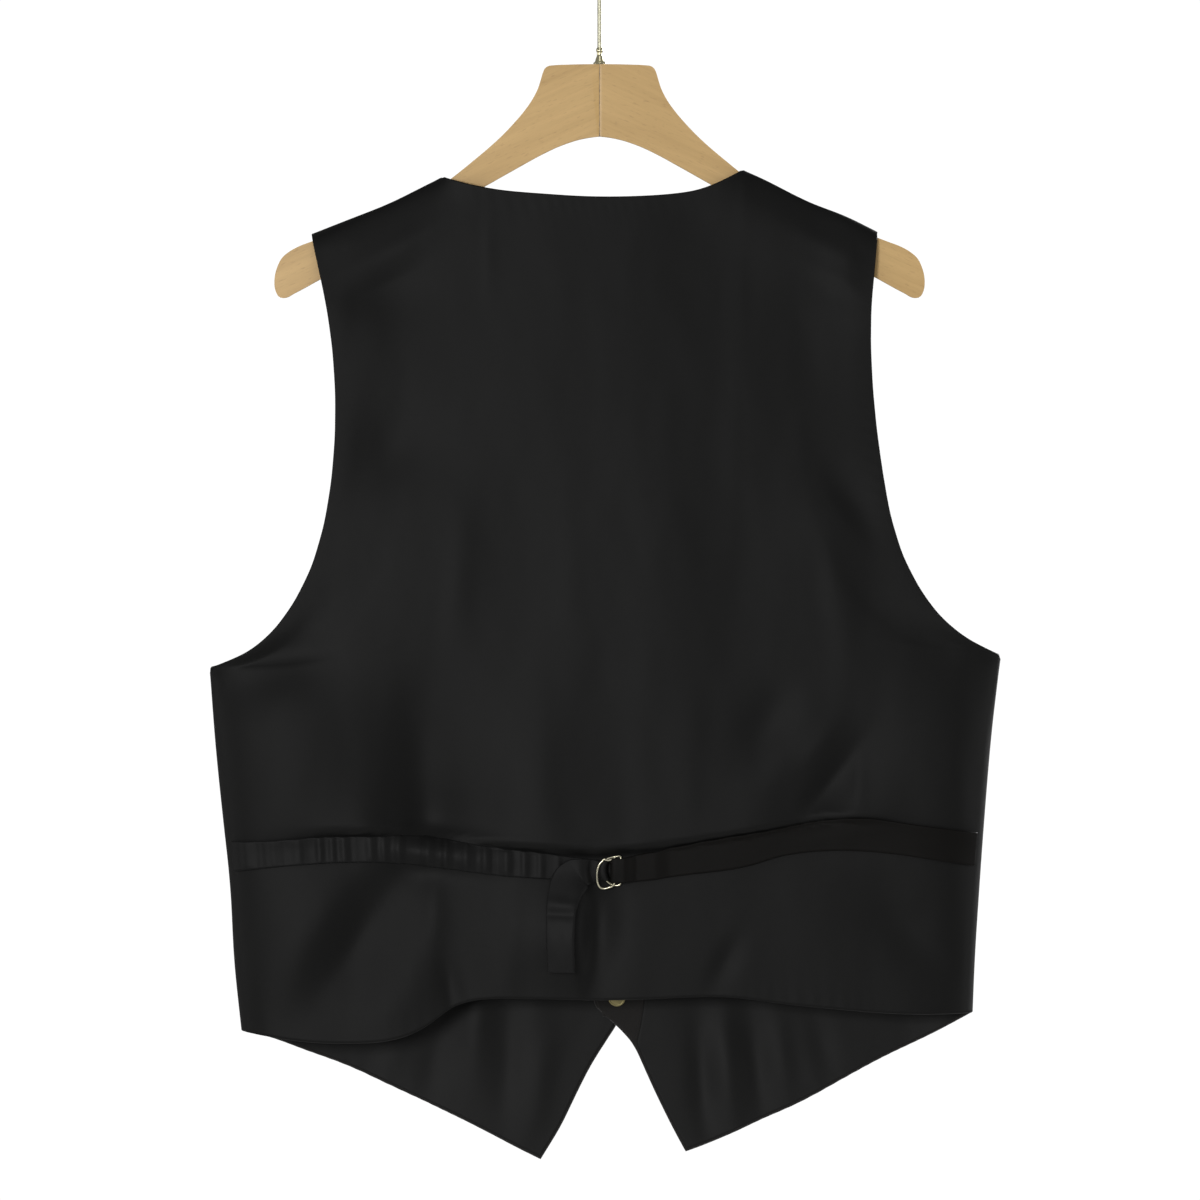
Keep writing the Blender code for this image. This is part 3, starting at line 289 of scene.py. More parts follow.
def wallOf(name, outer, outside, wall, finish):   # a closed wall with a rounded rim, from its outer points
    outer = outer.copy()
    rows, columns = outer.shape[:2]
    normal = gridNormals(outer, outside)
    outline = outer - normal * wall / 2
    for border, beside in borders.values():
        step = outer[beside] - outer[border]
        size = np.linalg.norm(step, axis=-1)[..., None]
        outer[border] += step / size * np.minimum(wall * cloth["rim"], size * cloth["rimMost"])
    inner = outer - normal * wall
    rim = [(0, c) for c in range(columns)] + [(r, columns - 1) for r in range(1, rows)]
    rim += [(rows - 1, c) for c in range(columns - 2, -1, -1)] + [(r, 0) for r in range(rows - 2, 0, -1)]
    count = rows * columns
    points = np.concatenate([outer.reshape(-1, 3), inner.reshape(-1, 3), [outline[place] for place in rim]])
    index = np.arange(count).reshape(rows, columns)
    quads = np.stack([index[:-1, :-1], index[:-1, 1:], index[1:, 1:], index[1:, :-1]], axis=-1).reshape(-1, 4)
    border = np.array([index[place] for place in rim])
    middle = 2 * count + np.arange(len(rim))
    following = np.roll(border, -1), np.roll(middle, -1)
    faces = np.concatenate([quads, quads[:, ::-1] + count,
                            np.stack([border, middle, following[1], following[0]], axis=-1),
                            np.stack([middle, border + count, following[0] + count, following[1]], axis=-1)])
    mesh = bpy.data.meshes.new(name)
    mesh.from_pydata(points.tolist(), [], faces.tolist())
    shape = bmesh.new()
    shape.from_mesh(mesh)
    bmesh.ops.recalc_face_normals(shape, faces=shape.faces)
    shape.to_mesh(mesh)
    shape.free()
    mesh.shade_smooth()
    mesh.materials.append(finish)
    return placed(name, mesh)


def panelGrid(name, panel):   # dense points on a solid's outside, with its seams turned in
    lines, bends = sidesOf(name, panel["corners"])
    low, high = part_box(name)
    fine = [cloth["fine" if side in panel["seams"] else "step"] for side in ("left", "right", "top")]
    columns = spread(high.x - low.x, cloth["step"], *fine[:2])
    rows = spread(high.z - low.z, cloth["step"], cloth["footStep"], fine[2])
    flat = gridBetween(lines, columns, rows)
    nudged, held = flat.copy(), np.zeros(flat.shape[:2])
    for side, (border, beside) in borders.items():
        step = flat[beside] - flat[border]
        nudged[border] += step / np.linalg.norm(step, axis=-1)[..., None] * cloth["nudge"]
        share = rows if side in ("left", "right") else columns
        sewn = {"lower": share <= bends[side][2], "ends": (share <= bends[side][0]) | (share >= bends[side][1]),
                "all": share >= 0, None: share < 0}
        held[border] = np.maximum(held[border], sewn[panel["seams"].get(side)])
    y = filled(heights(treeOf(nodes[name].data), nudged[..., 0], nudged[..., 1], panel["outside"]))
    y = np.where(held > 0, panel["outside"] * cloth["seamDepth"], y)
    y = relaxed(y, cloth["passes"], held)
    calm = smoothStep((flat[..., 1] - shoulders["foot"]) / shoulders["run"])
    calm *= smoothStep((shoulders["half"] - abs(flat[..., 0])) / shoulders["fade"])
    y += (relaxed(y.copy(), cloth["topPasses"], held) - y) * calm
    return np.stack([flat[..., 0], y, flat[..., 1]], axis=-1)


# Each panel's outside, its sewn sides, and the ways its corners point: bottom left and right, top left and right.
panels = {
    "back": {"title": "backPanel", "slot": "satin", "outside": -1, "wall": "backWall", "creases": backCreases,
             "seed": 3.0, "seams": {"left": "lower", "right": "lower", "top": "ends"},
             "corners": ((-1, -0.3), (1, -0.3), (-1, 1), (1, 1)), "restsOn": ["hanger_left", "hanger_right"]},
    "front_left": {"title": "frontLeftPanel", "slot": "suiting", "outside": 1, "wall": "frontWall",
                   "creases": frontCreases, "seed": 11.0, "seams": {"left": "lower", "top": "all"},
                   "corners": ((-1, -0.3), (0.3, -1), (-1, 1), (0.2, 1)), "restsOn": ["hanger_left"]},
    "front_right": {"title": "frontRightPanel", "slot": "suiting", "outside": 1, "wall": "frontWall",
                    "creases": frontCreases, "seed": 11.0, "seams": {"right": "lower", "top": "all"},
                    "corners": ((-0.3, -1), (1, -0.3), (-0.2, 1), (1, 1)), "restsOn": ["hanger_right"]}}
# The linings wear the satin painted lighter, painted light where the back's hem shades them.
innerPanels = {
    "lining_left": {"title": "liningLeft", "of": "front_left", "step": 2.4 * mm, "finish": "liningSatinPaintedLight",
                    "slot": "satin", "corners": ((-1, -0.3), (0.3, -1), (-1, 1), (1, 1))},
    "lining_right": {"title": "liningRight", "of": "front_right", "step": 2.4 * mm, "finish": "liningSatinPaintedLight",
                     "slot": "satin", "corners": ((-0.3, -1), (1, -0.3), (-1, 1), (1, 1))},
    "facing_right": {"title": "facingRight", "of": "front_right", "step": 1.5 * mm, "finish": "suiting",
                     "slot": "suiting", "corners": ((-1, -1), (0.3, -1), (-1, 1), (1, 1))}}
# The belt presses the back's creases flatter along its line of x, z, in mm, and the cloth swells above it.
beltLine = np.array([(-250, -633), (-180, -628), (-136, -628), (-75, -636), (0, -642), (45, -637), (98, -629),
                     (151, -619), (196, -619), (255, -628)]) * mm
press = {"half": 11 * mm, "share": 0.92}
swell = {"rise": 5.4 * mm, "start": 8.7 * mm, "run": 5.2 * mm, "fade": 40 * mm, "half": 215 * mm, "end": 60 * mm,
         "gaps": [(-120, 34, 0.6), (126, 14, 0.35)]}   # x and half width in mm, and share taken off
armhole = {"rise": 5.2 * mm, "band": 56 * mm, "foot": -505 * mm, "footRun": 60 * mm, "top": -222 * mm,
           "topRun": 50 * mm}
sideSeam = {"rise": 2.3 * mm, "at": 13 * mm, "near": 9 * mm, "far": 30 * mm, "edge": 6 * mm, "top": -515 * mm,
            "topRun": 40 * mm}


def aboveBelt(x, z):
    return z - np.interp(x, beltLine[:, 0], beltLine[:, 1])


def underBelt(x, z):
    return 1 - press["share"] * np.exp(-(aboveBelt(x, z) / press["half"]) ** 2)


def backSwell(x, z, side):   # over the belt, and out along the armholes' edges and the side seams
    edge = (1 - smoothStep(side / armhole["band"])) * armhole["rise"]
    edge *= smoothStep((z - armhole["foot"]) / armhole["footRun"])
    edge *= smoothStep((armhole["top"] - z) / armhole["topRun"])
    width = np.where(side < sideSeam["at"], sideSeam["near"], sideSeam["far"])
    full = np.exp(-((side - sideSeam["at"]) / width) ** 2) * smoothStep(side / sideSeam["edge"])
    edge += sideSeam["rise"] * full * smoothStep((sideSeam["top"] - z) / sideSeam["topRun"])
    above = aboveBelt(x, z) - swell["start"]
    full = smoothStep(above / swell["run"]) * np.exp(-np.maximum(above, 0) / swell["fade"])
    for at, width, share in swell["gaps"]:
        full *= 1 - share * np.exp(-((x / mm - at) / width) ** 2)
    return edge + swell["rise"] * full * smoothStep((swell["half"] - abs(x)) / swell["end"])


class Socket:   # an output, with arithmetic that adds Math nodes
    def __init__(self, finish, out):
        self.finish, self.out = finish, out

    def math(self, operation, *values):
        return self.finish.node("ShaderNodeMath", *values, operation=operation)

    def __add__(self, other):
        return self.math("ADD", self, other)

    def __sub__(self, other):
        return self.math("SUBTRACT", self, other)

    def __mul__(self, other):
        return self.math("MULTIPLY", self, other)

    __radd__ = __add__

    def wave(self, pitch):
        return self.math("SINE", self * (2 * math.pi / pitch))


class Finish:   # one material: a Principled shader with its constants, and the nodes that feed it
    def __init__(self, name, **constants):
        self.material = bpy.data.materials.new(name)
        self.material.use_nodes = True
        self.tree = self.material.node_tree
        self.shader = self.tree.nodes["Principled BSDF"]
        self.paint(**constants)

    def feed(self, socket, value):
        if isinstance(value, Socket):
            self.tree.links.new(value.out, socket)
        elif value is not None:
            socket.default_value = (*value, 1) if socket.type == "RGBA" else value

    def node(self, kind, *values, out=0, named=None, **settings):
        made = self.tree.nodes.new(kind)
        for key, value in settings.items():
            setattr(made, key, value)
        for socket, value in zip(made.inputs, values):
            self.feed(socket, value)
        for key, value in (named or {}).items():
            self.feed(made.inputs[key], value)
        return Socket(self, made.outputs[out])

    def paint(self, **sockets):
        for key, value in sockets.items():
            self.feed(self.shader.inputs[key.replace("_", " ")], value)

    def objectPlace(self):
        return self.node("ShaderNodeTexCoord", out=3)

    def axes(self, place):   # x and z
        x = self.node("ShaderNodeSeparateXYZ", place)
        return x, Socket(self, x.out.node.outputs[2])

    def mapped(self, place, scale=(1, 1, 1), lean=0):   # lean is about Y, in degrees
        return self.node("ShaderNodeMapping", place, None, (0, math.radians(lean), 0), scale)

    def cloud(self, place, scale, detail=2.0, rough=0.5):
        return self.node("ShaderNodeTexNoise", self.mapped(place, scale),
                         named={"Scale": 1.0, "Detail": detail, "Roughness": rough})

    def mix(self, share, first, second):
        return self.node("ShaderNodeMix", share, *[None] * 5, first, second, out=2, data_type="RGBA")

    def ramp(self, value, *stops):   # each stop is a place and a grey
        made = self.node("ShaderNodeValToRGB", value)
        for stop, (place, grey) in zip(made.out.node.color_ramp.elements, stops):
            stop.position, stop.color = place, (grey, grey, grey, 1)
        return made

    def bump(self, height, strength, distance):
        self.paint(Normal=self.node("ShaderNodeBump", named={"Height": height, "Strength": strength,
                                                             "Distance": distance}))


satinLook = {"dark": (0.0022, 0.0022, 0.0021), "light": (0.0036, 0.0036, 0.0034), "thread": 0.34 * mm, "weft": 2.4,
             "roughness": 0.57, "roughSpread": 0.06}
suitingLook = {"dark": (0.0066, 0.0058, 0.0052), "light": (0.0112, 0.0098, 0.0088), "twill": 1.1 * mm, "lean": 63}
woodLook = {"dark": (0.47, 0.285, 0.094), "light": (0.77, 0.515, 0.216), "fleck": (0.34, 0.18, 0.06),
            "glue": (0.10, 0.055, 0.02), "glueHalf": 0.4 * mm}


def satin(name, specular, toneAndPaintedLight):
    finish = Finish(name, Specular_IOR_Level=specular, Sheen_Weight=0.01, Sheen_Roughness=0.45)
    # The tone factor scales the satin's colours; the strap and lining copies use it for painted light and painted
    # shade.
    dark, light = [np.array(satinLook[key]) * toneAndPaintedLight for key in ("dark", "light")]
    place = finish.objectPlace()
    across, up = finish.axes(place)
    slubs = finish.cloud(place, (2600, 2600, 160))
    patches = finish.cloud(place, (14, 14, 5), 3.0, 0.6)
    warp, weft = across.wave(satinLook["thread"]), up.wave(satinLook["thread"] * satinLook["weft"])
    rough = (patches - 0.5) * satinLook["roughSpread"] + slubs * 0.06 + (satinLook["roughness"] - 0.03)
    finish.paint(Base_Color=finish.mix(slubs * 0.5 + patches * 0.5, dark, light), Roughness=rough)
    finish.bump(warp * 0.5 + weft * 0.18 + slubs * 1.3, 0.22, 0.05 * mm)
    return finish.material


def suiting():
    finish = Finish("suiting", Specular_IOR_Level=0.3, Sheen_Weight=0.12, Sheen_Roughness=0.5)
    place = finish.objectPlace()
    across, _ = finish.axes(finish.mapped(place, lean=suitingLook["lean"]))
    twill = across.wave(suitingLook["twill"]) * 0.5 + 0.5
    fibre = finish.cloud(place, (900, 900, 900), 4.0, 0.7)
    patches = finish.cloud(place, (22, 22, 12), 3.0, 0.6)
    tone = twill * 0.45 + fibre * 0.35 + patches * 0.3
    finish.paint(Base_Color=finish.mix(tone, suitingLook["dark"], suitingLook["light"]),
                 Roughness=0.74 + fibre * 0.16)
    finish.bump(twill * 0.8 + fibre * 0.7, 0.5, 0.12 * mm)
    return finish.material


def wood(name, lean):   # pale beech: long soft grain along each arm, short dark flecks, clear satin lacquer
    finish = Finish(name, Coat_Weight=0.25, Coat_Roughness=0.28)
    straight = finish.objectPlace()
    place = finish.mapped(straight, lean=lean)
    grain = finish.cloud(place, (9, 60, 210), 5.0, 0.62)
    broad = finish.cloud(place, (4, 18, 30), 3.0)
    flecks = finish.ramp(finish.cloud(place, (160, 900, 1100), 1.0), (0.62, 0), (0.72, 1))
    colour = finish.mix(grain * 0.85 + broad * 1.3 - 0.58, woodLook["dark"], woodLook["light"])
    colour = finish.mix(flecks * 0.35, colour, woodLook["fleck"])
    across, _ = finish.axes(straight)
    nearJoint = across.math("LESS_THAN", across.math("ABSOLUTE", across), woodLook["glueHalf"])
    glue = nearJoint * finish.ramp(finish.cloud(straight, (1, 1, 170), 3.0), (0.38, 0.12), (0.62, 0.75))
    finish.paint(Base_Color=finish.mix(glue, colour, woodLook["glue"]), Roughness=0.46 + grain * 0.12)
    finish.bump(grain * 0.6 + flecks * -0.5, 0.25, 0.12 * mm)
    return finish.material


def metal(name, bright, dull, rough, patina):   # plated wire or brass, a little tarnished
    finish = Finish(name, Metallic=1.0)
    place = finish.objectPlace()
    cloud = finish.cloud(place, (90, 90, 90), 4.0, 0.6)
    fine = finish.cloud(place, (700, 700, 700), 3.0, 0.6)
    finish.paint(Base_Color=finish.mix(cloud * patina, bright, dull), Roughness=rough + cloud * 0.12 + fine * 0.08)
    finish.bump(fine, 0.12, 0.04 * mm)
    return finish.material


def buttonHorn():
    finish = Finish("buttonHorn", Specular_IOR_Level=0.5)
    swirl = finish.cloud(finish.objectPlace(), (130, 130, 60), 4.0, 0.6)
    finish.paint(Base_Color=finish.mix(swirl, (0.006, 0.0055, 0.005), (0.03, 0.024, 0.02)),
                 Roughness=0.24 + swirl * 0.16)
    finish.bump(swirl, 0.1, 0.06 * mm)
    return finish.material


def thread():
    finish = Finish("thread", Roughness=0.6, Sheen_Weight=0.2)
    ply = finish.cloud(finish.objectPlace(), (2600, 2600, 2600))
    finish.paint(Base_Color=finish.mix(ply, (0.008, 0.008, 0.008), (0.028, 0.027, 0.026)))
    finish.bump(ply, 0.4, 0.06 * mm)
    return finish.material


finishes = {"satin": satin("satin", 0.17, (1, 1, 1)),
            # The gathered strap's satin is painted lighter: painted light for the light its gathers catch.
            "gatheredSatinPaintedLight": satin("gatheredSatinPaintedLight", 0.185, (1.1, 1.1, 1.15)),
            # The right strap's satin is painted darker and browner: painted shade for its duller sheen.
            "beltSatinPaintedShade": satin("beltSatinPaintedShade", 0.11, (1.0, 0.84, 0.7)), "suiting": suiting(),
            # The linings' satin is painted lighter: painted light where the hem shades them.
            "liningSatinPaintedLight": satin("liningSatinPaintedLight", 0.205, (1.2, 1.2, 1.2)), "woodLeft": wood("beechLeft", 24),
            "woodRight": wood("beechRight", -24), "button": buttonHorn(), "thread": thread(),
            "ringMetal": metal("ringPlate", (0.78, 0.74, 0.58), (0.5, 0.46, 0.3), 0.2, 0.8),
            "hookMetal": metal("hookPlate", (0.72, 0.71, 0.57), (0.46, 0.43, 0.27), 0.36, 0.8),
            "ferruleMetal": metal("ferrulePlate", (0.86, 0.82, 0.58), (0.6, 0.52, 0.26), 0.08, 0.7),
            "brass": metal("dullBrass", (0.34, 0.3, 0.15), (0.16, 0.13, 0.06), 0.34, 1.0)}
print("finishes made")


def keep(piece, node):   # the piece stands for a node, or for none where node is None
    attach(piece, "root")
    if node:
        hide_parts(node)
    return piece


def makePanel(name, panel):
    grid = panelGrid(name, panel)
    x, z = grid[..., 0], grid[..., 2]
    left, right, _, top = fromBorder(grid)
    edge = np.minimum(left, right)
    rise = creased(x, z, panel["creases"]) + uneven(x, z, panel["seed"])
    rise *= smoothStep(edge / cloth["calmEdge"]) * smoothStep(top / cloth["calmEdge"])
    if name == "back":
        rise = rise * underBelt(x, z) + backSwell(x, z, edge)
    clear = smoothStep(edge / puckers["sideClear"]), smoothStep(top / puckers["topClear"])
    rise += puckered(grid, panel["seed"]) * clear[0] * clear[1]
    grid[..., 1] += panel["outside"] * rise
    made = wallOf(panel["title"], grid, panel["outside"], cloth[panel["wall"]], finishes[panel["slot"]])
    keep(made, name)
    print(panel["title"], grid.shape)
    return made


def makeInner(name, panel):   # laid on a front's inside
    front, edge = garment[panel["of"]], lining["edge"]
    lines, _ = sidesOf(name, panel["corners"])
    low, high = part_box(name)
    flat = gridBetween(lines, spread(high.x - low.x, panel["step"], edge, edge),
                       spread(high.z - low.z, panel["step"], edge, edge))
    y = filled(heights(treeOf(front.data), flat[..., 0], flat[..., 1], -1))
    y = relaxed(y, lining["passes"], np.zeros(y.shape)) - lining["gap"]
    points = np.stack([flat[..., 0], y, flat[..., 1]], axis=-1)
    rise = uneven(points[..., 0], points[..., 2], lining["seed"]) * lining["uneven"]
    rise *= smoothStep(np.minimum.reduce(fromBorder(points)) / lining["calmEdge"])
    points[..., 1] -= np.maximum(rise, 0)
    made = wallOf(panel["title"], points, -1, lining["wall"], finishes[panel["finish"]])
    keep(made, name)


garment = {name: makePanel(name, panel) for name, panel in panels.items()}
for name, panel in innerPanels.items():
    makeInner(name, panel)
print("linings and facing")

# The half belt's rows of x, z along each edge, and what the straps do at the rings, in mm.
belt = {
    "leftTop": [(-249, -623), (-226.8, -622.4), (-179.8, -619), (-153.9, -618.8), (-126, -619.7), (-101.5, -622.4),
        (-75.6, -625.8), (-49.7, -628.5), (-15, -633.6), (2.5, -636.1)],
    "leftFoot": [(-247.4, -643.5), (-214.5, -640.1), (-171.6, -637.4), (-136.2, -637.6), (-101.5, -641.5),
        (-67.4, -646.2), (-32.7, -648.8), (-15, -649.8), (2.5, -648.5)],
    "rightTop": [(10.6, -634.6), (15.5, -633.9), (24, -631.6), (45, -627.2), (81, -620.4), (114.4, -615),
        (151.9, -608.1), (178.4, -606.8), (214.5, -611.5), (255.2, -617)],
    "rightFoot": [(10.6, -649.8), (15.5, -650.4), (24, -650.1), (53.8, -646.3), (98.7, -640.1), (125.3, -632.6),
        (160.7, -629.2), (196.8, -631.3), (225, -635.4), (253.2, -639.8)],
    # outer x, z, lift, inner x, z, lift, from the turn round the ring to the tail's free end
    "tail": [(2.5, -636.1, 4.8, 2.5, -648.5, 4.8), (1.2, -636, 4.55, 1.2, -648.5, 4.55),
        (-0.5, -635.9, 3.6, -0.5, -648.6, 3.6), (-2.2, -635.8, 2.6, -2.2, -648.8, 2.6),
        (-4.8, -635.2, 2.3, -4.8, -649.6, 2.3), (-6.8, -634.6, 2.4, -6.6, -650.7, 2.5),
        (-9, -634.2, 3.7, -8.5, -651.6, 3.9), (-11.6, -633.9, 5.2, -10, -652.4, 5.6),
        (-14.5, -633.8, 5.7, -11, -652.8, 6.2), (-21, -635.2, 5.3, -11.2, -653.4, 6.6),
        (-28, -640, 5.2, -11.4, -655, 7.2), (-33, -649, 5.4, -13.4, -658.5, 8.0),
        (-35, -662, 6.0, -16.2, -665.5, 8.6), (-35.3, -680, 6.2, -18, -681, 9), (-35, -696, 6.2, -18.2, -696.4, 9),
        (-34.4, -710.3, 6.4, -17.8, -709.6, 9)],
    # x, half width and rise of each gather, and z, half height and rise of the tail's crinkles
    "gathers": [(-238, 4.4, 1.1), (-221, 4.8, 1.0), (-204, 4.2, 1.2), (-189, 2.7, 1.6), (-181, 2.5, 1.4),
        (-173, 2.9, 1.7), (-155, 3.4, 1.7), (-146, 2.6, 1.4), (-136, 3.4, 1.7), (-116, 4.2, 1.8), (-104, 2.8, 1.6),
        (-90, 4.0, 1.9), (-77, 3.0, 1.7), (-63, 3.8, 1.9), (-51, 2.8, 1.6), (-40, 2.6, 1.1), (-28, 2.0, 0.6)],
    "crinkles": [(-668, 3.5, 1.1), (-674, 3, -0.9)],
    "wall": 1.2, "bed": 0.45, "lift": 0.9, "step": 0.9, "across": 15, "leftTurn": 1.95, "rightTurn": 2.75,
    "gap": 0.3, "loopEnd": 36.0, "loopEase": 12.0, "loopStart": 5.5, "loopRun": 9.0, "tailRows": 130, "underRows": 28,
    "wrinkle": 0.35, "wrinkleRun": 20, "sagStart": -12, "sagRun": 11,
    "fullness": ([0, 0.12, 0.5, 0.85, 1], [0.55, 0.95, 1.0, 0.9, 0.5])}   # places across, and a gather's share there
# The inner ring lies flat: its bow's x, its middle's z, and the lifts of its bow and bar. The outer one leans
# on the tail: x, z and lift round it.
ring = {"wire": 1.36, "height": 22.0, "depth": 12.0, "corner": 1.6, "flat": (2.4, -641.9, 2.85, 2.6),
        "leaning": [(6.8, -631.9, 6.3), (3.7, -634.2, 6.4), (0.7, -637.4, 6.1), (-1, -640.4, 5.6),
            (-1.7, -643.4, 5.1), (-1.9, -645.9, 4.9), (-1.8, -647.9, 4.9), (-1.2, -650.4, 4.8), (0.5, -652.6, 4.6),
            (3.2, -653.4, 4.5), (6.7, -652.9, 4.5), (9.2, -652.1, 4.5), (10.1, -650.9, 4.5), (10.2, -647, 4.5),
            (10.2, -642, 4.5), (10.2, -637, 4.6), (10.1, -634.6, 4.6), (9.3, -632.4, 5.2), (8.2, -632, 5.8)]}


def through(points, share):   # points at shares of the length of a smooth curve through some points
    p = np.array(points, float)
    chord = lengthAlong(p)
    slope = np.gradient(p, chord, axis=0)
    at = np.linspace(0, chord[-1], 60 * len(p))
    k = np.clip(np.searchsorted(chord, at, side="right") - 1, 0, len(p) - 2)
    span = (chord[k + 1] - chord[k])[:, None]
    t = (at - chord[k])[:, None] / span
    fine = ((2 * t ** 3 - 3 * t ** 2 + 1) * p[k] + (t ** 3 - 2 * t ** 2 + t) * span * slope[k]
            + (3 * t ** 2 - 2 * t ** 3) * p[k + 1] + (t ** 3 - t ** 2) * span * slope[k + 1])
    return pointsAt(fine, share)


backTree = treeOf(garment["back"].data)


def onBack(spots):   # x, z and lift in mm become points over the back
    x, z, lift = spots[..., 0] * mm, spots[..., 1] * mm, (spots[..., 2] + belt["bed"]) * mm
    reachOut = 2.5 * mm
    y = filled(heights(backTree, x, z, -1))
    slopeX = (heights(backTree, x + reachOut, z, -1) - heights(backTree, x - reachOut, z, -1)) / (2 * reachOut)
    slopeZ = (heights(backTree, x, z + reachOut, -1) - heights(backTree, x, z - reachOut, -1)) / (2 * reachOut)
    way = np.stack([np.nan_to_num(slopeX), -np.ones_like(x), np.nan_to_num(slopeZ)], axis=-1)
    way /= np.linalg.norm(way, axis=-1)[..., None]
    return np.stack([x, y, z], axis=-1) + way * lift[..., None]


def halfTurn(x, topZ, footZ, radius, way):   # rows round a strap's turn
    rows = []
    for angle in np.radians(np.linspace(-75, 75, 11)):
        out, lift = way * radius * math.cos(angle), belt["lift"] + radius * (1 + math.sin(angle))
        rows.append([(x + out, topZ, lift), (x + out, footZ, lift), 0, 0])
    return rows


def hills(at, rows):
    return sum(rise * math.exp(-((at - middle) / width) ** 2) for middle, width, rise in rows)


def wrinkle(x, pitch, seed, start, way):   # a small unevenness that begins past start
    fade = smoothStep(way * (x - start) / belt["wrinkleRun"])
    return noise.noise(Vector((x / pitch, *seed))) * belt["wrinkle"] * fade


def edgesOf(top, foot):   # a strap's two edges, with as many points
    share = evenShares(lengthAlong(np.array(top))[-1], belt["step"])
    return through(top, share), through(foot, share)


def ribbon(title, node, rows, finish):
    across = np.linspace(0, 1, belt["across"])
    fullness = np.interp(across, *belt["fullness"])
    sections = []
    for upper, lower, gather, wave in rows:
        upper, lower = np.array(upper, float), np.array(lower, float)
        section = upper + (lower - upper) * across[:, None]
        section[:, 2] += gather * fullness + wave * np.sin(across * math.pi * 3)
        sections.append(section)
    sections = np.array(sections)
    if node == "strap_left":
        radius = (ring["height"] - ring["wire"]) / 2
        off = np.minimum(abs(sections[..., 1] - ring["flat"][1]), radius)
        sag = radius - np.sqrt(radius ** 2 - off ** 2)
        sections[..., 0] += sag * smoothStep((sections[..., 0] - belt["sagStart"]) / belt["sagRun"])
    middle = onBack(sections)
    wall = belt["wall"] * mm
    outer = middle + gridNormals(middle, -1) * wall / 2
    made = keep(wallOf(title, outer, -1, wall, finish), node)


def leftStrap():
    top, foot = edgesOf(belt["leftTop"], belt["leftFoot"])
    rows = []
    for upper, lower in zip(top, foot):
        x = (upper[0] + lower[0]) / 2
        gather = hills(x, belt["gathers"])
        quick = wrinkle(x, 3.2, (4.0, 1.0), -30, -1)
        rows.append([(*upper, belt["lift"]), (*lower, belt["lift"]), gather + max(quick, -gather), quick * 0.2])
    rows += halfTurn(top[-1][0], top[-1][1], foot[-1][1], belt["leftTurn"], 1)
    tail = through(belt["tail"], np.linspace(0, 1, belt["tailRows"]))[1:]
    for place, spot in enumerate(tail):
        rows.append([spot[:3], spot[3:], hills(spot[4], belt["crinkles"]), 0.12 * math.sin(place / 7)])
    # The left strap wears the satin painted lighter, painted light.
    ribbon("beltLeft", "strap_left", rows, finishes["gatheredSatinPaintedLight"])


def rightStrap():   # over and round the rings' bars, and its end back under it
    top, foot = edgesOf(belt["rightTop"][::-1], belt["rightFoot"][::-1])
    loopX, lowest, gap = top[-1][0], belt["lift"], belt["gap"]
    overBars, doubled = lowest + 2 * belt["rightTurn"], lowest + gap + belt["wall"]
    rows = []
    for upper, lower in zip(top, foot):
        x = (upper[0] + lower[0]) / 2
        slow = wrinkle(x, 26, (9.0, 2.0), 45, 1)
        down = smoothStep((x - loopX - belt["loopStart"]) / belt["loopRun"])
        flat = smoothStep((x - belt["loopEnd"] - gap) / belt["loopEase"])
        lift = overBars + (doubled - overBars) * down + (lowest - doubled) * flat
        rows.append([(*upper, lift), (*lower, lift), max(slow, 0), slow * 0.25])
    rows += halfTurn(loopX, top[-1][1], foot[-1][1], belt["rightTurn"], -1)[::-1]
    top, foot = top[::-1], foot[::-1]
    for x in np.linspace(loopX, belt["loopEnd"], belt["underRows"]):
        rows.append([(x, np.interp(x, top[:, 0], top[:, 1]) - gap, lowest),
                     (x, np.interp(x, foot[:, 0], foot[:, 1]) + gap, lowest), 0, 0])
    # The right strap wears the satin painted darker, painted shade.
    ribbon("beltRight", "strap_right", rows, finishes["beltSatinPaintedShade"])


def choose(*pieces):   # selects these pieces alone
    bpy.ops.object.select_all(action="DESELECT")
    for piece in pieces:
        piece.select_set(True)
        bpy.context.view_layer.objects.active = piece


def wireAlong(title, lines, thickness, sides, closed, finish):   # curves with a round bevel, made one mesh
    data = bpy.data.curves.new(title, "CURVE")
    data.dimensions, data.bevel_depth, data.bevel_resolution = "3D", thickness / 2, sides // 4
    data.use_fill_caps = not closed
    for line in lines:
        spline = data.splines.new("POLY")
        spline.points.add(len(line) - 1)
        spline.points.foreach_set("co", np.column_stack([line, np.ones(len(line))]).astype(np.float32).ravel())
        spline.use_cyclic_u = closed
    made = placed(title, data)
    choose(made)
    bpy.ops.object.convert(target="MESH")
    made = bpy.context.object
    made.data.materials.clear()
    made.data.materials.append(finish)
    bpy.ops.object.shade_smooth_by_angle(angle=math.radians(60))
    return made


def flatRing():
    bowX, z, bowLift, barLift = ring["flat"]
    radius = (ring["height"] - ring["wire"]) / 2
    outline = [(radius + radius * math.cos(angle), radius * math.sin(angle))
               for angle in np.radians(np.linspace(270, 90, 61))]
    corner = ring["depth"] - ring["corner"]
    for centreZ, start in ((radius - ring["corner"], 90), (ring["corner"] - radius, 0)):
        for angle in np.radians(np.linspace(start, start - 90, 8)):
            outline.append((corner + ring["corner"] * math.cos(angle), centreZ + ring["corner"] * math.sin(angle)))
    flat = evenly(np.array(outline + outline[:1]), 0.7)[:-1]
    lift = bowLift + (barLift - bowLift) * flat[:, 0] / ring["depth"]
    return np.column_stack([flat + (bowX, z), lift])


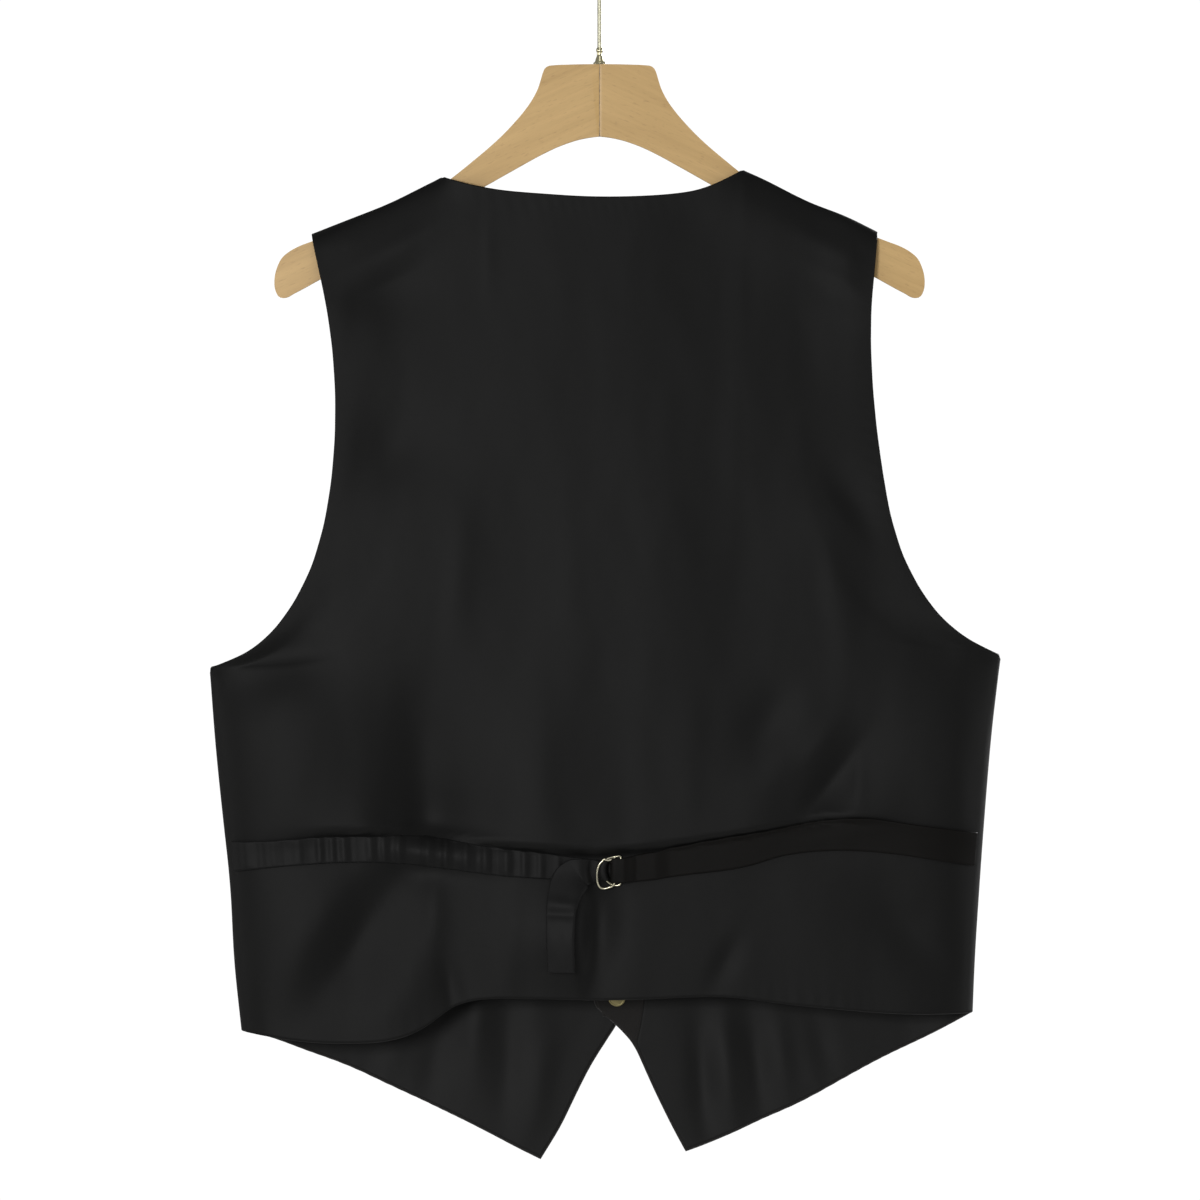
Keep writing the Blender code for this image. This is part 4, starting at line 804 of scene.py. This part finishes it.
def setRing(title, node, spots):
    line = onBack(spots[None])[0]
    keep(wireAlong(title, [line], ring["wire"] * mm, 12, True, finishes["ringMetal"]), node)


leftStrap()
rightStrap()
setRing("ringOuter", "d_ring_a", through(ring["leaning"] + ring["leaning"][:1], np.linspace(0, 1, 100))[:-1])
setRing("ringInner", "d_ring_b", flatRing())
print("half belt and rings")

# Turned pieces have rows of radius and height from the foot up, in mm. A stud is a button's flat back.
button = {"count": 5, "foot": 5.6, "holeOff": 1.25, "hole": 0.75, "sides": 56, "thread": 0.42, "studFoot": 5.4,
          "rows": [(7.1, 0.9), (7.5, 1.7), (7.4, 2.4), (7.0, 2.9), (6.3, 2.95), (5.7, 2.6), (5.2, 2.15),
                   (4.6, 2.05), (2.4, 2.0)],
          "stud": [(5.9, 0.35), (5.95, 0.7), (5.6, 1.0), (5.2, 1.08), (4.9, 0.95), (4.5, 0.95), (4.2, 1.15),
                   (2.0, 1.3)]}


def turnedPiece(title, foot, rows, finish):   # a disc drawn up row by row, as on a lathe
    choose()
    bpy.ops.mesh.primitive_circle_add(vertices=button["sides"], radius=foot * mm, fill_type="NGON")
    made = bpy.context.object
    made.name = made.data.name = title
    bpy.ops.object.mode_set(mode="EDIT")
    radius, height = foot, 0
    for nextRadius, nextHeight in rows:
        bpy.ops.mesh.extrude_region_move(TRANSFORM_OT_translate={"value": (0, 0, (nextHeight - height) * mm)})
        scale = nextRadius / radius
        bpy.ops.transform.resize(value=(scale, scale, 1), center_override=(0, 0, nextHeight * mm))
        radius, height = nextRadius, nextHeight
    bpy.ops.mesh.select_all(action="SELECT")
    bpy.ops.mesh.normals_make_consistent(inside=False)
    bpy.ops.object.mode_set(mode="OBJECT")
    bpy.ops.object.shade_smooth_by_angle(angle=math.radians(50))
    made.data.materials.append(finish)
    return made


def buttonModel():
    disc = turnedPiece("buttonModel", button["foot"], button["rows"], finishes["button"])
    off = button["holeOff"] * mm
    for x, y in ((off, off), (off, -off), (-off, off), (-off, -off)):
        choose()
        bpy.ops.mesh.primitive_cylinder_add(vertices=20, radius=button["hole"] * mm, depth=3 * mm,
                                            location=(x, y, 2.2 * mm))
        drill = bpy.context.object
        choose(disc)
        hole = disc.modifiers.new("hole", "BOOLEAN")
        hole.operation, hole.object, hole.solver = "DIFFERENCE", drill, "EXACT"
        bpy.ops.object.modifier_apply(modifier=hole.name)
        bpy.data.objects.remove(drill)
    bpy.ops.object.shade_smooth_by_angle(angle=math.radians(40))
    return disc


def placedCopy(model, title, node, faceOut):   # its face turned to +Y or -Y, from the near side of a node's box
    low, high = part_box(node)
    spot = Vector(((low.x + high.x) / 2, low.y if faceOut > 0 else high.y, (low.z + high.z) / 2))
    mesh = model.data.copy()
    mesh.transform(Matrix.Translation(spot) @ Matrix.Rotation(-faceOut * math.pi / 2, 4, "X"))
    return placed(title, mesh)


def threadModel():   # two crossed stitches through the four holes
    off, top = button["holeOff"], 2.0
    strands = []
    for sign in (1, -1):
        for shift in (-0.22, 0.22):
            side = np.array([1, -sign]) * shift / math.sqrt(2)
            line = []
            for t in np.linspace(-1, 1, 17):
                height = top + 0.55 - 1.3 * abs(t) ** 5 + sign * 0.12
                line.append((t * off + side[0], sign * t * off + side[1], height))
            strands.append(np.array(line) * mm)
    return wireAlong("strands", strands, button["thread"] * mm, 8, False, finishes["thread"])


def setButtons():
    disc, stitches = buttonModel(), threadModel()
    stud = turnedPiece("studModel", button["studFoot"], button["stud"], finishes["brass"])
    for number in range(1, button["count"] + 1):
        front, back = f"button_{number}", f"button_back_{number}"
        keep(placedCopy(disc, f"button{number}", front, 1), front)
        keep(placedCopy(stitches, f"buttonThread{number}", front, 1), None)
        keep(placedCopy(stud, f"buttonBack{number}", back, -1), back)
    for model in (disc, stitches, stud):
        bpy.data.objects.remove(model)


setButtons()
print("buttons")

# Buttonholes run from under each button away from the front's edge. Pick stitches follow the fronts' edges.
# In mm, but sharp is a turn in radians, and the left front hides the right one's edge between lap's two z in m.
sewing = {"holeStart": 6.7, "holeEnd": 14.6, "lip": 1.5, "slit": 0.22, "pitch": 0.42, "purl": 0.34, "tack": 1.9,
          "pickOff": 4.5, "pickPitch": 5.6, "pickLength": 1.6, "pick": 0.34, "corner": 9.0, "sharp": 0.5,
          "lap": (-0.342, -0.752)}


def stitched(title, name, lines, thickness):   # rows of x, z and height in mm, sewn over a front
    spots = np.array(lines)
    x, z = spots[..., 0] * mm, spots[..., 1] * mm
    y = filled(heights(treeOf(garment[name].data), x, z, 1))
    points = np.stack([x, y + spots[..., 2] * mm, z], axis=-1)
    keep(wireAlong(title, list(points), thickness * mm, 6, False, finishes["thread"]), None)


# One stitch from the slit outwards: how far it reaches, and its height.
purl = [(sewing["slit"] + sewing["lip"] * t, -0.05 + 0.42 * math.sin(math.pi * (0.15 + 0.85 * t)))
        for t in (0, 0.3, 0.6, 0.85, 1)]


def buttonhole(number):   # two lips of close stitches round a slit, and a bar tack across its end
    low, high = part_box(f"button_{number}")
    midX, midZ = (low.x + high.x) / 2 / mm, (low.z + high.z) / 2 / mm
    endX = midX - sewing["holeEnd"]
    lines = []
    for x in np.arange(sewing["holeStart"], sewing["holeEnd"], sewing["pitch"]):
        for way in (1, -1):
            lines.append([(midX - x, midZ + way * r, height) for r, height in purl])
    for turn in np.radians(np.arange(-75, 76, 15)):
        lines.append([(endX - r * math.cos(turn), midZ + r * math.sin(turn), height) for r, height in purl])
    for x in (0.3, 0.7, 1.1):
        lines.append([(endX - x, midZ + t * sewing["tack"], 0.62 - 0.75 * abs(t) ** 3)
                      for t in (-1, -0.6, 0, 0.6, 1)])
    stitched(f"buttonhole{number}", "front_left", lines, sewing["purl"])


def pickStitches(name, title):
    panel, half, lines = panels[name], sewing["pickLength"] / 2, []
    edges, bends = sidesOf(name, panel["corners"])
    keepOut = math.ceil(sewing["corner"] / sewing["pickPitch"])
    for side, inward in (("foot", 1), ("right", 1), ("left", -1)):
        line = evenly(edges[side], sewing["pickPitch"] * mm) / mm
        along = np.gradient(line, axis=0)
        along /= np.linalg.norm(along, axis=1)[:, None]
        across = np.column_stack([-along[:, 1], along[:, 0]]) * inward
        turn = sharpness(line, 1)
        for place in range(keepOut, len(line) - keepOut):
            z = line[place, 1] * mm
            seam = side in panel["seams"] and place / len(line) <= bends[side][2] + 0.01
            lapped = name == "front_right" and side == "left" and sewing["lap"][1] < z < sewing["lap"][0]
            if seam or lapped or turn[max(0, place - 1):place + 2].max() > sewing["sharp"]:
                continue
            middle = line[place] + across[place] * sewing["pickOff"]
            lines.append([(*(middle + along[place] * half * t), 0.16 - 0.5 * abs(t) ** 3)
                          for t in (-1, -0.55, 0, 0.55, 1)])
    stitched(title, name, lines, sewing["pick"])


for number in range(1, button["count"] + 1):
    buttonhole(number)
pickStitches("front_left", "pickStitchesLeft")
pickStitches("front_right", "pickStitchesRight")
print("sewing")

# One half of the hanger: rows of x, z along its edge, from past the joint above round to past it below, in mm.
hanger = {
    "outline": [(-12, -96), (0, -96), (20, -96.3), (31, -96.8), (34.9, -97.3), (37.1, -98.9), (38.4, -101.6),
        (39.6, -105.6), (41.6, -112), (45.6, -120), (51.2, -128), (58.2, -136.2), (66.2, -144.6), (74.9, -152.6),
        (84.8, -160.9), (95, -169.2), (106, -177.4), (122, -185), (145, -195.6), (170, -206.4), (196, -216.6),
        (203, -219.2), (210.5, -223.2), (215.4, -227.4), (218.9, -234.2), (220.6, -242.4), (219.8, -250),
        (217.4, -254), (213.6, -254.6), (206.7, -251.3), (190.3, -242.4), (160, -225.3), (120, -202.7),
        (81, -180.7), (54.1, -165.5), (40.5, -158), (27, -151.6), (13, -147), (0, -145), (-12, -145)],
    "step": 2.0, "board": 14.0, "round": 3.6, "roundSteps": 5, "joint": 0.03, "jointBevel": 0.16}
hook = {"wire": 3.0, "radius": 22.0, "bend": 8.0, "end": 205, "foot": -95.7}   # end is an angle in degrees
ferrule = {"foot": 4.3, "footZ": -95.7,
           "rows": [(4.3, 0.5), (4.0, 0.9), (3.3, 1.4), (2.85, 2.4), (2.65, 3.4), (2.3, 4.4), (1.9, 5.3),
            (1.8, 6.2), (1.8, 7.6), (2.0, 8.1), (2.3, 8.7), (2.38, 9.3), (2.3, 9.9), (2.0, 10.5), (1.8, 10.8),
            (1.7, 11.1)]}


def faceTowards(piece, direction, at):   # selects the flat faces that look one way, at one y, in edit mode
    shape = bmesh.from_edit_mesh(piece.data)
    for face in shape.faces:
        face.select = face.normal.y * direction > 0.9 and abs(face.calc_center_median().y - at) < 0.01 * mm
    bmesh.update_edit_mesh(piece.data)


def hangerModel():
    outline = evenly(through(hanger["outline"], np.linspace(0, 1, 1200)), hanger["step"])
    choose()
    bpy.ops.mesh.primitive_circle_add(vertices=len(outline), radius=0.1, fill_type="NGON")
    made = bpy.context.object
    straight = (hanger["board"] / 2 - hanger["round"]) * mm
    for vertex, (x, z) in zip(made.data.vertices, outline):
        vertex.co = (x * mm, -straight, z * mm)
    bpy.ops.object.mode_set(mode="EDIT")
    bpy.ops.mesh.extrude_region_move(TRANSFORM_OT_translate={"value": (0, 2 * straight, 0)})
    bpy.ops.mesh.select_all(action="SELECT")
    bpy.ops.mesh.normals_make_consistent(inside=False)
    angles = np.radians(np.linspace(0, 90, hanger["roundSteps"] + 1))
    for way in (-1, 1):
        level = straight
        for before, after in zip(angles, angles[1:]):
            inward = hanger["round"] * (math.cos(before) - math.cos(after)) * mm
            outward = hanger["round"] * (math.sin(after) - math.sin(before)) * mm
            faceTowards(made, way, way * level)
            bpy.ops.mesh.inset(thickness=inward, depth=outward, use_even_offset=True)
            level += outward
    bpy.ops.mesh.select_all(action="SELECT")
    bpy.ops.mesh.bisect(plane_co=(hanger["joint"] * mm, 0, 0), plane_no=(1, 0, 0), use_fill=True, clear_inner=True)
    bpy.ops.mesh.bevel(offset=hanger["jointBevel"] * mm, segments=2)
    bpy.ops.object.mode_set(mode="OBJECT")
    bpy.ops.object.shade_smooth_by_angle(angle=math.radians(32))
    return made


def setHanger():
    model = hangerModel()
    for title, node, side in (("hangerLeft", "hanger_left", -1), ("hangerRight", "hanger_right", 1)):
        mesh = model.data.copy()
        mesh.materials.append(finishes["woodLeft" if side < 0 else "woodRight"])
        mesh.transform(Matrix.Diagonal((side, 1, 1, 1)))
        if side < 0:
            mesh.flip_normals()
        keep(placed(title, mesh), node)
    bpy.data.objects.remove(model)
    base = turnedPiece("hookFerrule", ferrule["foot"], ferrule["rows"], finishes["ferruleMetal"])
    base.data.transform(Matrix.Translation((0, 0, ferrule["footZ"] * mm)))
    keep(base, "ferrule")


def hookLine():   # up the stem, round a small bend, and on round the crook
    radius, bend, crookZ = hook["radius"], hook["bend"], hook["wire"] / 2 - hook["radius"]
    bendZ = crookZ - math.sqrt((radius + bend) ** 2 - bend ** 2)
    meet = math.degrees(math.atan2(crookZ - bendZ, -bend))
    line = [(0, 0, z) for z in np.linspace(hook["foot"], bendZ, 10)[:-1]]
    line += [(bend + bend * math.cos(a), 0, bendZ + bend * math.sin(a))
             for a in np.radians(np.linspace(180, meet, 16))]
    line += [(radius * math.cos(a), 0, crookZ + radius * math.sin(a))
             for a in np.radians(np.linspace(meet - 180, hook["end"], 90)[1:])]
    return np.array(line) * mm


setHanger()
keep(wireAlong("hookWire", [hookLine()], hook["wire"] * mm, 20, False, finishes["hookMetal"]), "hook")
print("hanger and hook")

view = {"pixels": 1200, "pixelSize": 0.6768 * mm, "x": 0.3 * mm, "z": -459.6 * mm, "plane": -0.02,
        "lens": 300.0, "sensor": 36.0}


def setCamera():
    distance = view["pixels"] * view["pixelSize"] * view["lens"] / view["sensor"]
    bpy.ops.object.camera_add(location=(view["x"], view["plane"] - distance, view["z"]),
                              rotation=(math.pi / 2, 0, 0))
    camera = bpy.context.object
    camera.data.lens, camera.data.sensor_width = view["lens"], view["sensor"]
    camera.data.clip_start, camera.data.clip_end = 0.05, 60
    bpy.context.scene.camera = camera


studio = {"surround": 0.24, "backdrop": 1.05,
          # each light's place, size in metres and watts
          "lights": [("keyLight", (-0.95, -2.95, -0.36), 0.8, 40), ("rightLight", (2.0, -2.4, -0.5), 0.8, 3),
                     ("topLight", (0.2, -1.6, 1.7), 1.4, 6), ("lowLight", (-0.3, -2.3, -2.3), 1.2, 1.6),
                     ("backLight", (1.8, 2.2, 0.4), 1.0, 72), ("leftRim", (-2.7, -0.3, -0.4), 1.5, 12),
                     ("rightRim", (2.7, -0.3, -0.4), 1.5, 15)],
          "aim": (0, 0, -0.45), "floorDrop": 0.75, "floorSize": 3.2}


def setStudio():
    for name, place, size, power in studio["lights"]:
        bpy.ops.object.light_add(type="AREA", location=place)
        light = bpy.context.object
        light.name = name
        light.data.size, light.data.energy = size, power
        light.rotation_euler = (Vector(studio["aim"]) - Vector(place)).to_track_quat("-Z", "Y").to_euler()
    world = bpy.data.worlds.new("studio")
    world.use_nodes = True
    tree = world.node_tree
    soft = tree.nodes["Background"]
    soft.inputs[0].default_value, soft.inputs[1].default_value = (1, 1, 1, 1), studio["surround"]
    plain = tree.nodes.new("ShaderNodeBackground")
    plain.inputs[0].default_value, plain.inputs[1].default_value = (1, 1, 1, 1), studio["backdrop"]
    mixer, path = tree.nodes.new("ShaderNodeMixShader"), tree.nodes.new("ShaderNodeLightPath")
    tree.links.new(path.outputs["Is Camera Ray"], mixer.inputs[0])
    tree.links.new(soft.outputs[0], mixer.inputs[1])
    tree.links.new(plain.outputs[0], mixer.inputs[2])
    tree.links.new(mixer.outputs[0], tree.nodes["World Output"].inputs[0])
    bpy.context.scene.world = world
    bpy.context.scene.view_settings.view_transform = "Standard"
    bpy.ops.mesh.primitive_circle_add(vertices=96, radius=studio["floorSize"] / 2, fill_type="NGON",
                                      location=(0, 0, cadBox[0].z - studio["floorDrop"]))
    floor = bpy.context.object
    floor.name = "floor"
    pale = Finish("floorPaint", Base_Color=(0.82, 0.82, 0.81), Roughness=0.6)
    floor.data.materials.append(pale.material)


choose()
setCamera()
setStudio()
print("camera and studio set")
